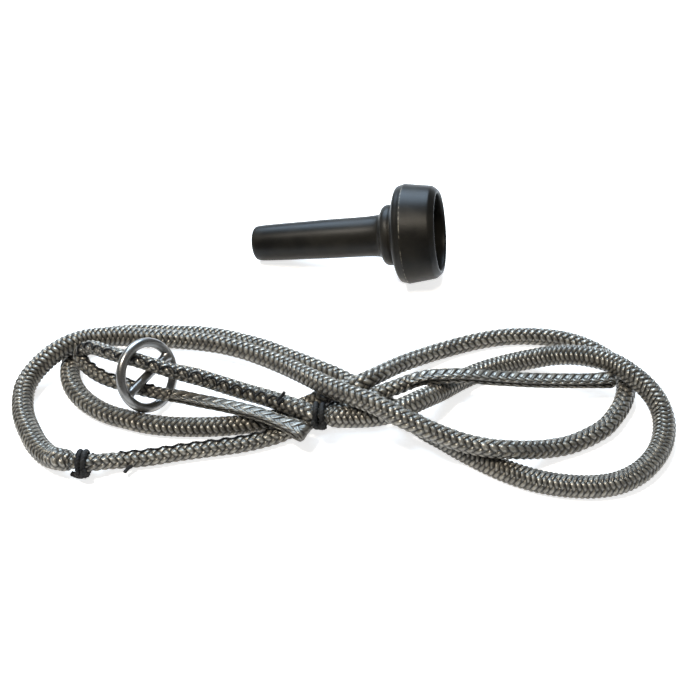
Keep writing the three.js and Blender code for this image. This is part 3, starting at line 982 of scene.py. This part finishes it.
@dataclass
class Finishes:
    """Every material of the object, made once."""

    cord: bpy.types.Material
    tail: bpy.types.Material
    eye: bpy.types.Material
    drawn_eye: bpy.types.Material
    lacing: bpy.types.Material
    steel: bpy.types.Material
    cone: bpy.types.Material
    core: bpy.types.Material

    @classmethod
    def make(cls) -> "Finishes":
        """Build the shared groups and the materials that use them.

        Returns:
            All the materials.
        """
        braid, grain = braid_group(), grain_group()
        return cls(
            cord=BraidFinish("cord_braid", HankCord.weave).make(braid, grain),
            tail=BraidFinish("tail_braid", SewnTail.weave).make(braid, grain),
            eye=BraidFinish("eye_braid", SewnTail.eye_weave).make(braid, grain),
            # The drawn eye's gap and flank colours are painted shade, paler than on the round braid.
            drawn_eye=BraidFinish(
                "drawn_eye_braid", SewnTail.drawn_weave, gap=(0.03, 0.027, 0.022),
                flank_shade=(0.085, 0.078, 0.064), crest=(0.17, 0.158, 0.134),
            ).make(braid, grain),
            lacing=LacingFinish("black_lacing").make(grain),
            steel=SteelFinish("ring_steel").make(grain),
            cone=RubberFinish("cone_rubber", seam=CatchCone().mould_line()).make(grain),
            core=RubberFinish(
                "core_rubber", colour=(0.12, 0.11, 0.09), dusty=(0.2, 0.18, 0.15), roughness=0.7
            ).make(grain),
        )


def coat(obj: bpy.types.Object, material: bpy.types.Material) -> None:
    """Give an object one material in place of its own."""
    obj.data.materials.clear()
    obj.data.materials.append(material)


def stand_in(
    piece: bpy.types.Object, material: bpy.types.Material, node: str, body: str
) -> None:
    """Dress a piece, let it stand for a CAD node and ride it on a body.

    Args:
        piece: The piece.
        material: Its material.
        node: The CAD node that it replaces.
        body: The body that it moves with.
    """
    coat(piece, material)
    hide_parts(node)
    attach(piece, body)


def cord_path(line: np.ndarray, every: int) -> list[list[float]]:
    """Thin a cord's middle line, with its last point kept."""
    return line[::every].tolist() + [line[-1].tolist()]


# ------------------------------------------------------------ sub-assemblies
@dataclass(frozen=True)
class Joint:
    """Where a whipping holds the cord.

    Attributes:
        at: Its middle, in millimetres.
        along: The way from the thick cord to the tail.
        knot: The side on which its knot lies.
    """

    at: Place
    along: Place
    knot: Place

    def point(self, distance: float) -> np.ndarray:
        """Give the point a distance along the joint, in metres."""
        return (np.array(self.at) + unit(np.array(self.along, float)) * distance / MM) * MM


WHIP_1 = Joint((-123.5, -81.6, 7.7), (1, -0.12, -0.05), (0, -0.85, -0.35))
WHIP_2 = Joint((-9.3, -57.9, 15.3), (-0.985, 0.17, 0), (0.1, -0.9, -0.3))


@dataclass
class HankCord:
    """The thick elastic cord, from one whipping round the hank to the other.

    Attributes:
        diameter: Nominal thickness.
        end: How far short of a whipping's middle the cord stops.
        choke: The length over which a whipping draws it in.
        step: Distance between its rings of points.
        drawn: How far the elastic has drawn its picks together, as (distance, pitch)
            rows in millimetres.
    """

    diameter: float = 10 * MM
    end: float = 5.125 * MM
    choke: float = 3 * MM
    step: float = 0.57 * MM
    weave = Weave(pitch=3.4)
    drawn: Points = (
        (0, 2.6), (120, 2.7), (190, 3.6), (290, 3.3), (350, 4.1), (450, 3.5),
        (600, 4.1), (700, 3.2), (850, 2.9), (1000, 3.6), (1050, 2.5), (1390, 2.8),
    )

    def closeness(self, s: np.ndarray) -> np.ndarray:
        """Give how much closer than usual the picks lie at distances in millimetres."""
        at, pitch = np.array(self.drawn).T
        return self.weave.pitch / np.interp(s, at, pitch)

    def weave_distance(self, s: np.ndarray) -> np.ndarray:
        """Run the weave faster where the elastic has drawn its picks together.

        Args:
            s: Distance along the cord, in millimetres.

        Returns:
            Distance along the weave, in millimetres of its usual pitch.
        """
        rate = self.closeness(s)
        return np.concatenate([[0.0], np.cumsum(np.diff(s) * (rate[1:] + rate[:-1]) / 2)])

    def line(self) -> np.ndarray:
        """Run the cord's middle line from one whipping to the other.

        Returns:
            The evenly spaced line.
        """
        half = self.diameter / 2
        points = [WHIP_1.point(-self.end), WHIP_1.point(-self.end - half)]
        points += [np.array(p) * MM for p in HANK_ROUTE]
        points += [WHIP_2.point(-self.end - half), WHIP_2.point(-self.end)]
        return smooth_line(points, self.step)

    def build(self, finishes: Finishes) -> None:
        """Args:
            finishes: The materials.
        """
        line = self.line()
        total = length_of(line)

        def swell(s: np.ndarray) -> np.ndarray:
            """Thicken the cord where its picks lie close and draw it in at the whippings."""
            nearest = np.clip(np.minimum(s, total - s) / self.choke, 0, 1)
            return (0.8 + 0.2 * nearest**0.5) * self.closeness(s / MM) ** 0.4

        piece = braided_tube(
            "elastic_cord", Sweep.lying(line), self.weave, swell, self.diameter + PROUD,
            warp=self.weave_distance,
        )
        stand_in(piece, finishes.cord, "elastic_cord_sheath", "lanyard")
        LOG.info("elastic_cord: %.0f mm", total / MM)


# One stitch: millimetres along, degrees round and millimetres above the sheath.
STITCH: Points = (
    (0.0, 27, -0.1), (0.35, 12, 0.25), (1.2, -6, 0.4), (2.6, -17, 0.4), (4.2, -19, 0.4),
    (5.6, -11, 0.4), (6.5, 4, 0.35), (7.05, 19, 0.15),
)
STITCH_LENGTH = 7.4


@dataclass(frozen=True)
class Stitching:
    """Lock stitching along a tail, as (distance, turn, height) of its thread.

    Attributes:
        first: Distance from the tail's start to the first stitch, in millimetres.
        last: Distance from the tail's start to the last stitch, in millimetres.
        turn: Turn of the seam away from the top, in degrees.
        ends: The cut ends, as rows of distance, turn and height over the sheath.
        sway: How unevenly wide the stitches are, as a share.
    """

    first: float
    last: float
    turn: float
    ends: tuple[Points, ...]
    sway: float = 0.12

    def rows(self) -> list[tuple[float, float, float]]:
        """Repeat the stitch along the seam, each a little unlike the last.

        Returns:
            Rows of distance, turn and height over the sheath.
        """
        count = int((self.last - self.first) / STITCH_LENGTH)
        return [
            (
                self.first + k * STITCH_LENGTH + along,
                self.turn + around * (1 + self.sway * math.sin(2.3 * k)),
                above,
            )
            for k in range(count)
            for along, around, above in STITCH
        ]


@dataclass
class SewnTail:
    """A tail: the sewn round stretch out of a whipping, then its flat eye.

    Attributes:
        number: The tail's number in the names of its pieces.
        joint: Where its whipping is.
        route: The sleeve's middle line, in millimetres.
        eye_route: The eye's middle line, in millimetres.
        stitching: Its seam.
        thickness: How thick the sleeve is, as (distance, thickness) in millimetres.
        eye_width: Level width of the flat eye.
        eye_depth: Thickness of one of its two legs.
        bulb: How much further apart the legs lie at the fold, for each leg.
        flare: How much larger the sheath is at the fold, as a share.
        drawn: Whether the eye's sheath is drawn out long and smooth.
        thread: Radius of the sewing thread.
        frayed: How much thicker the thread is at its cut ends.
        diameter: Nominal thickness of the sleeve.
        leg_gap: The gap between the eye's legs.
        step: Distance between its rings of points.
    """

    number: int
    joint: Joint
    route: Points
    eye_route: Points
    stitching: Stitching
    thickness: Points
    eye_width: float
    eye_depth: float
    bulb: float
    flare: float
    drawn: bool
    thread: float = 0.48 * MM
    frayed: float = 1.7
    diameter: float = 7.5 * MM
    leg_gap: float = 0.1 * MM
    step: float = 0.7 * MM
    weave = Weave(pitch=3.8, relief=0.65 * MM)
    eye_weave = Weave(pitch=4.9, relief=0.4 * MM)
    drawn_weave = Weave(pitch=5.4, relief=0.3 * MM, upright=0.0)

    def swell(self, s: np.ndarray) -> np.ndarray:
        """Give how much thicker than its nominal diameter the sleeve is at distances in metres."""
        at, across = np.array(self.thickness).T
        return np.interp(s / MM, at, across) * MM / self.diameter

    def whole_line(self) -> np.ndarray:
        """Run the middle line through the tail and its eye.

        Returns:
            The evenly spaced line.
        """
        start = PROUD - HankCord.end
        points = [self.joint.point(at) for at in (start, 0, start + 8 * MM)]
        points += [np.array(p) * MM for p in (*self.route, *self.eye_route)]
        return smooth_line(points, self.step)

    def split(self) -> tuple[Sweep, Sweep]:
        """Cut the line where the stitching ends.

        Returns:
            The sleeve and the eye.
        """
        sweep = Sweep.lying(self.whole_line())
        here = np.linalg.norm(sweep.line - np.array(self.eye_route[0]) * MM, axis=1).argmin()
        return sweep.part(0, here + 1), sweep.part(here, len(sweep.line))

    def eye_sweep(self, middle: Sweep) -> Sweep:
        """Fold a flat leg out and back along the eye's middle line.

        Args:
            middle: The eye's middle line.

        Returns:
            The path of the folded sheath.
        """
        s = travel(middle.line)
        bulb = self.bulb * np.exp(-(((s[-1] - s) / (7 * MM)) ** 2))
        half = (self.eye_depth + self.leg_gap) / 2 + bulb[:, None]
        turn = np.linspace(0, np.pi, 12)[1:-1, None]
        out = middle.normal[-1] * np.cos(turn) + middle.tangent[-1] * np.sin(turn)
        ahead = middle.tangent[-1] * np.cos(turn) - middle.normal[-1] * np.sin(turn)
        side = np.repeat(middle.side[-1:], len(turn), axis=0)
        upper, lower = middle.line + middle.normal * half, middle.line - middle.normal * half
        return Sweep(
            np.vstack([upper, middle.line[-1] + out * half[-1], lower[::-1]]),
            np.vstack([middle.tangent, ahead, -middle.tangent[::-1]]),
            np.vstack([middle.normal, out, -middle.normal[::-1]]),
            np.vstack([middle.side, side, middle.side[::-1]]),
        )

    def on_sheath(self, sleeve: Sweep, rows: Points) -> np.ndarray:
        """Place (distance, turn, height) rows on the round sheath.

        Args:
            sleeve: The tail's sweep.
            rows: Millimetres along, degrees from the top and millimetres above.

        Returns:
            A smooth line through the places.
        """
        r = np.array(rows, float)
        s = travel(sleeve.line) / MM

        def along(values: np.ndarray) -> np.ndarray:
            """Read a row of directions at the wanted distances."""
            return np.stack([np.interp(r[:, 0], s, values[:, c]) for c in range(3)], axis=1)

        turn = np.radians(r[:, 1])[:, None]
        out = along(sleeve.normal) * np.cos(turn) - along(sleeve.side) * np.sin(turn)
        radius = self.diameter / 2 * self.swell(r[:, :1] * MM)
        points = along(sleeve.line) + out * (radius + r[:, 2:3] * MM)
        points[:, 2] = np.maximum(points[:, 2], self.thread)
        return smooth_line(points, 0.4 * MM)

    def sew(self, sleeve: Sweep, tree: ThreadTree, finishes: Finishes) -> bpy.types.Object:
        """Sew the lock stitching and leave its frayed cut ends.

        Args:
            sleeve: The tail's sweep.
            tree: The tree that spins the thread.
            finishes: The materials.

        Returns:
            The stitches and the cut ends as one piece.
        """
        seam, finish = self.stitching, finishes.lacing
        ends = [self.on_sheath(sleeve, end) for end in seam.ends]
        sewn = tree.spin("sewn", [self.on_sheath(sleeve, seam.rows())], self.thread, finish)
        cut = tree.spin("cut", ends, self.frayed * self.thread, finish)
        stitches = joined(f"tail_{self.number}_stitches", [sewn, cut])
        stitches.data.materials.append(finishes.lacing)
        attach(stitches, "lanyard")
        return stitches

    def build(self, finishes: Finishes, tree: ThreadTree) -> None:
        """Args:
            finishes: The materials.
            tree: The tree that spins the thread.
        """
        name = f"tail_{self.number}"
        sleeve, eye = self.split()
        total, wide = length_of(sleeve.line), self.diameter + PROUD
        tube = braided_tube(f"{name}_braid", sleeve, self.weave, self.swell, wide)
        stand_in(tube, finishes.tail, f"{name}_sleeve", "lanyard")
        folded = self.eye_sweep(eye)
        fold = length_of(folded.line) / 2

        def widen(s: np.ndarray) -> np.ndarray:
            """Widen the eye at its fold."""
            return 1 + self.flare * np.exp(-(((s - fold) / (10 * MM)) ** 2))

        weave, finish = self.eye_weave, finishes.eye
        if self.drawn:
            weave, finish = self.drawn_weave, finishes.drawn_eye
        flat = braided_tube(
            f"{name}_eye_braid", folded, weave, widen, self.eye_width, self.eye_depth,
            Section.FLAT, sides=28,
        )
        stand_in(flat, finish, f"{name}_eye", "lanyard")
        stitches = self.sew(sleeve, tree, finishes)
        cord_path(sleeve.line, 3)
        LOG.info("%s: sleeve %.0f mm, eye %.0f mm", name, total / MM, length_of(eye.line) / MM)


@dataclass
class Whipping:
    """Turns of black cord round the end of the thick cord, with a knot on them.

    Attributes:
        number: The whipping's number in its piece's name.
        joint: Where it is.
        strands: The knot's strands, as (along, across, lift) rows in millimetres.
        pitch: Distance from turn to turn.
        shift: How far its middle lies from the joint's, towards the tail.
        cord: Thickness of the black cord.
        turns: How often it goes round.
        radius: From the joint's line to the middle of the black cord.
        lay: Length of one twist of the black cord's strands.
    """

    number: int
    joint: Joint
    strands: tuple[Points, ...]
    pitch: float
    shift: float
    cord: float = 2.9 * MM
    turns: float = 1.9
    radius: float = 5.15 * MM
    lay: float = 4.2 * MM

    def centre(self) -> np.ndarray:
        """Give the middle of the turns."""
        return self.joint.point(self.shift)

    def axes(self) -> tuple[np.ndarray, np.ndarray, np.ndarray]:
        """Work out the directions that the whipping is laid by.

        Returns:
            Along the joint, out to the knot, and across both.
        """
        along = unit(np.array(self.joint.along, float))
        knot = np.array(self.joint.knot, float)
        knot = unit(knot - (knot @ along) * along)
        return along, knot, np.cross(along, knot)

    def strand(self, name: str, rows: Points) -> bpy.types.Object:
        """Lay one strand of the knot.

        Args:
            name: The strand's name.
            rows: Its points along, across and above the turns, in millimetres.

        Returns:
            The strand.
        """
        along, knot, across = self.axes()
        points = [
            self.centre() + along * x * MM + across * y * MM + knot * (self.radius + h * MM)
            for x, y, h in rows
        ]
        sweep = Sweep.free(smooth_line(points, 0.35 * MM), knot)
        return laid_cord(name, sweep, self.cord / 2, self.lay)

    def build(self, finishes: Finishes) -> None:
        """Build and dress the whipping.

        Args:
            finishes: The materials.
        """
        along, knot, across = self.axes()
        share = np.linspace(0, 1, 130)[:, None]
        angle = 2 * np.pi * self.turns * share + np.pi * (1 - self.turns)
        x = self.turns * self.pitch * (share - 0.5)
        out = knot * np.cos(angle) + across * np.sin(angle)
        line = self.centre() + along * x + out * self.radius
        parts = [laid_cord("turns", Sweep.free(line, out[0]), self.cord / 2, self.lay)]
        parts += [self.strand(f"strand_{k}", rows) for k, rows in enumerate(self.strands)]
        whipping = joined(f"whipping_{self.number}_cord", parts)
        node = f"whipping_{self.number}"
        stand_in(whipping, finishes.lacing, node, "lanyard")
        LOG.info("%s_cord: %.1f turns and %d strands", node, self.turns, len(self.strands))


@dataclass
class SlideRing:
    """Round wire ring with a bar welded across it.

    Attributes:
        outer: Outer diameter.
        wire: Thickness of the ring's wire.
        bar: Thickness of the bar.
        stop: How far the bar's ends stop short of the middle of the wire.
        fillet: The length over which the weld swells the bar.
        weld: How much it swells it.
        centre: The ring's middle, in millimetres.
        axis: The ring's axis.
        along: The way that the bar runs.
    """

    outer: float = 38.6 * MM
    wire: float = 5 * MM
    bar: float = 4.8 * MM
    stop: float = 1.1 * MM
    fillet: float = 3.3 * MM
    weld: float = 1.0 * MM
    centre: Place = (-97.4, -34.6, 19.0)
    axis: Place = (0.79, -0.45, 0.42)
    along: Place = (0.485, 0.873, 0.01)

    def build(self, finishes: Finishes) -> None:
        """Build and dress the ring and its bar.

        Args:
            finishes: The materials.
        """
        centre = np.array(self.centre) * MM
        axis = unit(np.array(self.axis))
        bar = np.array(self.along)
        bar = unit(bar - (bar @ axis) * axis)
        across = np.cross(axis, bar)
        middle = (self.outer - self.wire) / 2
        turn = np.linspace(0, 2 * np.pi, 160, endpoint=False)[:, None]
        out = bar * np.cos(turn) + across * np.sin(turn)
        a = (2 * np.pi * np.arange(32) / 32)[None, :, None]
        wire = self.wire / 2 * (np.cos(a) * out[:, None, :] + np.sin(a) * axis)
        wire = (centre + out * middle)[:, None, :] + wire
        end = middle - self.stop
        x = np.linspace(-end, end, 90)[:, None]
        weld = np.clip((np.abs(x) - (end - self.fillet)) / self.fillet, 0, 1)
        r = (self.bar / 2 + self.weld * weld**2.2)[..., None]
        rod = (centre + bar * x)[:, None, :] + r * (np.cos(a) * across + np.sin(a) * axis)
        for name, rings, u, closed, node in (
            ("ring_wire", wire, turn[:, 0] * middle / MM, True, "slide_ring"),
            ("ring_bar", rod, x[:, 0] / MM, False, "ring_crossbar"),
        ):
            piece = new_object(name, grid_mesh(name, rings, u, closed))
            stand_in(piece, finishes.steel, node, "ring")
            LOG.info("%s", name)


@dataclass
class CatchCone:
    """Hollow rubber cone: a tapered stem, a collar and a bell with a turned-in lip.

    Its sizes are in millimetres. The stem and the collar give their lengths, the crest
    its distance from the tip, the edge the rounding of the tip and the tip its place on
    the floor; the yaw is in degrees from +X.
    """

    tip: tuple[float, float] = (-51.4, 85.6)
    yaw: float = -9.3
    length: float = 114.0
    stem: float = 80.0
    collar: float = 7.2
    crest: float = 94.8
    tip_radius: float = 10.5
    stem_radius: float = 12.7
    collar_radius: float = 17.8
    bell_radius: float = 29.2
    lip_radius: float = 24.9
    mouth_radius: float = 22.4
    wall: float = 4.8
    bore: float = 6.5
    edge: float = 2.0

    def outline(self) -> np.ndarray:
        """Draw the wall's outline.

        Returns:
            Rows of radius and distance from the tip, in millimetres.
        """
        e, stem, end = self.edge, self.stem, self.stem + self.collar
        tip, col, bell = self.tip_radius, self.collar_radius, self.bell_radius
        lip, mouth, crest, full = self.lip_radius, self.mouth_radius, self.crest, self.length
        rise, inner = bell - col, bell - self.wall
        return np.array([
            (self.bore + 0.5, 0), (tip - e, 0), (tip - 0.6 * e, 0.12 * e),
            (tip - 0.2 * e, 0.45 * e), (tip, e),
            (tip + (self.stem_radius - tip) * 0.5, stem * 0.5), (self.stem_radius, stem - 1.6),
            (self.stem_radius + 0.9, stem - 0.3), (col - 2.2, stem + 0.4), (col - 0.8, stem + 1.4),
            (col, stem + 3.2), (col, end - 1.6), (col - 0.5, end - 0.5), (col - 0.3, end + 0.1),
            (col + 0.26 * rise, end + 0.8), (col + 0.64 * rise, end + 1.8),
            (col + 0.89 * rise, end + 3.3), (bell - 0.35, crest - 1.4), (bell - 0.04, crest - 0.5),
            (bell, crest - 0.2), (bell - 0.02, crest + 0.4), (bell - 0.7, full - 14),
            (bell - 1.6, full - 7.5), (bell - 2.1, full - 4.4), (bell - 2.4, full - 3.2),
            (lip + 1.0, full - 2.0), (lip - 0.1, full - 0.7), (lip - 0.8, full - 0.1),
            ((lip + mouth) / 2, full), (mouth + 0.4, full - 0.4), (mouth, full - 1.4),
            (mouth + 0.5, full - 8),
            (inner - 0.4, full - 14), (inner - 0.6, crest + 1), (inner - 3, crest - 2),
            (inner - 8, crest - 4.4), (self.bore + 3, crest - 6.4), (self.bore + 0.7, crest - 7.8),
            (self.bore, crest - 10), (self.bore, 0.6),
        ])

    def wall_line(self) -> np.ndarray:
        """Run a smooth line round the wall's outline, in millimetres."""
        rows = self.outline()
        return smooth_line(np.vstack([rows, rows[:1]]), 0.5)[:-1]

    def mould_line(self) -> float:
        """Give the distance round the wall to the bell's crest, where the mould parts."""
        flat = self.wall_line()
        return float(travel(flat)[flat[:, 0].argmax()])

    def build(self, finishes: Finishes) -> None:
        """Build and dress the cone where it lies, on its tip and on its bell.

        Args:
            finishes: The materials.
        """
        rows = self.outline()
        behind = rows[rows[:, 1] > self.stem]
        slopes = (behind[:, 0] - self.tip_radius) / (behind[:, 1] - self.edge)
        lean, yaw = float(np.arctan(slopes).max()), math.radians(self.yaw)
        level = math.cos(lean)
        along = np.array([math.cos(yaw) * level, math.sin(yaw) * level, math.sin(lean)])
        side = unit(np.cross(along, UP))
        top = np.cross(side, along)
        rest = level * (self.tip_radius - self.edge * math.tan(lean))
        flat = self.wall_line()
        radius, distance = flat.T[..., None, None]
        turn = (2 * np.pi * np.arange(128) / 128)[None, :, None]
        spokes = np.cos(turn) * top + np.sin(turn) * side
        rings = np.array([*self.tip, rest]) + along * distance + radius * spokes
        mesh = grid_mesh("moulded_cone", rings * MM, travel(flat), closed=True)
        cone = new_object("moulded_cone", mesh)
        stand_in(cone, finishes.cone, "catch_cone", "cone")
        LOG.info("moulded_cone: leans %.1f degrees", math.degrees(lean))


@dataclass
class Studio:
    """Pale floor, soft light and the photograph's camera.

    Attributes:
        focal_px: Focal length, in pixels of the photograph.
        frame_px: Width of the photograph, in pixels.
        elevation: How steeply the camera looks down, in degrees.
        distance: From the camera to its target.
        target: The point on the floor at the middle of the picture.
    """

    focal_px: float = 884.0
    frame_px: float = 700.0
    elevation: float = 45.0
    distance: float = 0.4925
    target: Place = (6.2 * MM, 2.7 * MM, 0.0)

    def camera(self) -> None:
        """Place the camera."""
        data = bpy.data.cameras.new("view")
        data.sensor_width = 36.0
        data.lens = 36.0 * self.focal_px / self.frame_px
        obj = bpy.data.objects.new("view", data)
        e = math.radians(self.elevation)
        obj.location = Vector(self.target) + Vector((0, -math.cos(e), math.sin(e))) * self.distance
        obj.rotation_euler = (math.pi / 2 - e, 0, 0)
        bpy.context.scene.collection.objects.link(obj)
        bpy.context.scene.camera = obj

    def floor(self) -> None:
        """Lay a pale floor that the camera sees as white, with the shadows kept."""
        bm = bmesh.new()
        bmesh.ops.create_grid(bm, x_segments=1, y_segments=1, size=6)
        mesh = bpy.data.meshes.new("floor")
        bm.to_mesh(mesh)
        bm.free()
        obj = new_object("floor", mesh)
        obj.location = (0, 0, -0.0002)
        m = MaterialSheet("floor_paper")
        m.surface(Base_Color=(0.8, 0.8, 0.8, 1), Roughness=0.9, Specular_IOR_Level=0.1)
        glow = m.node("ShaderNodeEmission", Strength=0.75)
        rays = m.tree.nodes.new("ShaderNodeLightPath").outputs
        seen = m.math("MAXIMUM", rays["Is Camera Ray"], rays["Is Glossy Ray"])
        add, pick = m.tree.nodes.new("ShaderNodeAddShader"), m.tree.nodes.new("ShaderNodeMixShader")
        for giver, taker in (
            (m.shader.outputs[0], add.inputs[0]), (glow.outputs[0], add.inputs[1]),
            (m.math("MAXIMUM", seen, rays["Is Transmission Ray"]), pick.inputs[0]),
            (m.shader.outputs[0], pick.inputs[1]), (add.outputs[0], pick.inputs[2]),
            (pick.outputs[0], m.tree.nodes["Material Output"].inputs["Surface"]),
        ):
            m.tree.links.new(giver, taker)
        mesh.materials.append(m.material)

    def hang(
        self,
        lamp: bpy.types.Light,
        place: Place,
        power: float,
        colour: Colour,
        aim: Place = (0, 0, 0),
    ) -> None:
        """Hang a lamp and turn it to its aim.

        Args:
            lamp: The lamp.
            place: Where it hangs, in metres.
            power: Its power, in watts.
            colour: Its colour.
            aim: The point that it shines on.
        """
        lamp.energy, lamp.color = power, colour
        obj = bpy.data.objects.new(lamp.name, lamp)
        obj.location = place
        obj.rotation_euler = (Vector(aim) - Vector(place)).to_track_quat("-Z", "Y").to_euler()
        bpy.context.scene.collection.objects.link(obj)

    def light(self) -> None:
        """Hang two square lamps and a narrow one for the cone, and set the world."""
        panel, overhead = (bpy.data.lights.new(name, "AREA") for name in ("back_panel", "overhead"))
        panel.size, overhead.size = 0.95, 0.14
        self.hang(panel, (-0.15, 0.95, 1.0), 37.0, (0.62, 0.80, 1.0))
        self.hang(overhead, (-0.36, -0.10, 0.93), 8.6, (1.0, 0.93, 0.82))
        spot = bpy.data.lights.new("bell_lamp", "SPOT")
        spot.spot_size, spot.spot_blend, spot.shadow_soft_size = math.radians(8), 1.0, 0.06
        self.hang(spot, (-0.03, -0.33, 0.88), 34.0, (1.0, 0.9, 0.75), aim=(0.026, 0.068, 0.045))
        world = bpy.data.worlds.new("room")
        world.use_nodes = True
        back = world.node_tree.nodes["Background"]
        back.inputs["Color"].default_value = (0.97, 0.96, 0.93, 1)
        back.inputs["Strength"].default_value = 0.2
        bpy.context.scene.world = world

    def build(self) -> None:
        """Set the scene up round the object."""
        self.camera()
        self.floor()
        self.light()
        bpy.context.scene.view_settings.view_transform = "Standard"


SEAM_1 = Stitching(
    first=23, last=150, turn=34,
    ends=(
        ((29.5, -84, 0.0), (28.0, -85, 0.6), (26.6, -88, 1.8), (25.0, -92, 3.4)),
        ((29.0, -94, 0.1), (27.6, -94, 0.6), (26.2, -96, 1.9), (25.3, -99, 2.8)),
    ),
)
SEAM_2 = Stitching(
    first=25, last=199, turn=33,
    ends=(
        ((26.5, 40, 0.3), (25.5, 22, 0.7), (24.3, 6, 1.6), (23.2, -2, 3.6)),
        ((25.5, 52, 0.3), (24.6, 40, 0.7), (24.0, 30, 0.9), (23.4, 16, 0.7)),
    ),
)
# How thick the sewn sleeves are: distance and thickness, in millimetres.
THICKNESS_1: Points = ((0, 7.5), (10, 8.2), (170, 8.2))
THICKNESS_2: Points = (
    (0, 7.5), (8, 8.8), (25, 9.1), (75, 8.9), (90, 7.5),
    (130, 7.5), (150, 7.2), (170, 6.8), (200, 6.7),
)
KNOT_1: tuple[Points, ...] = (
    ((1.9, -4.2, -0.8), (1.3, -1.5, 1.0), (-0.5, 1.5, 1.3), (-3.4, 3.3, 0.8), (-6.4, 3.4, 0.1)),
    ((-3.0, -0.6, 0.1), (-0.8, 1.2, 1.2), (1.2, 3.2, 0.4), (1.8, 4.6, -1.2)),
)
KNOT_2: tuple[Points, ...] = (
    ((-2.8, -3.8, -0.6), (-1.2, -1.3, 1.0), (1.2, 1.3, 1.2), (2.9, 3.8, -0.2)),
    ((2.8, -3.6, -0.8), (1.2, -1.2, 1.1), (-1.2, 1.2, 0.9), (-2.8, 3.6, -0.3)),
)


def dress_inside(finishes: Finishes) -> None:
    """Give the pieces that lie inside the sheath their materials.

    Args:
        finishes: The materials.
    """
    for node, material in (
        ("rubber_core", finishes.core),
        ("tail_1_buried_end", finishes.tail),
        ("tail_2_buried_end", finishes.tail),
    ):
        coat(bpy.data.objects[node], material)


def main() -> None:
    """Load the frame, build every piece in order and note the sizes."""
    logging.basicConfig(level=logging.INFO, format="%(message)s")
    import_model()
    Studio().build()
    finishes = Finishes.make()
    HankCord().build(finishes)
    thread = ThreadTree()
    SewnTail(
        1, WHIP_1, TAIL_1_ROUTE, EYE_1_ROUTE, SEAM_1, THICKNESS_1,
        eye_width=7.2 * MM, eye_depth=2.8 * MM, bulb=0.3 * MM, flare=0.08, drawn=False,
    ).build(finishes, thread)
    SewnTail(
        2, WHIP_2, TAIL_2_ROUTE, EYE_2_ROUTE, SEAM_2, THICKNESS_2,
        eye_width=6.6 * MM, eye_depth=2.2 * MM, bulb=0.6 * MM, flare=0.6, drawn=True,
    ).build(finishes, thread)
    Whipping(1, WHIP_1, KNOT_1, pitch=2.6 * MM, shift=1.3 * MM).build(finishes)
    Whipping(2, WHIP_2, KNOT_2, pitch=3.3 * MM, shift=-1.1 * MM).build(finishes)
    SlideRing().build(finishes)
    CatchCone().build(finishes)
    dress_inside(finishes)


if __name__ == "__main__":
    main()
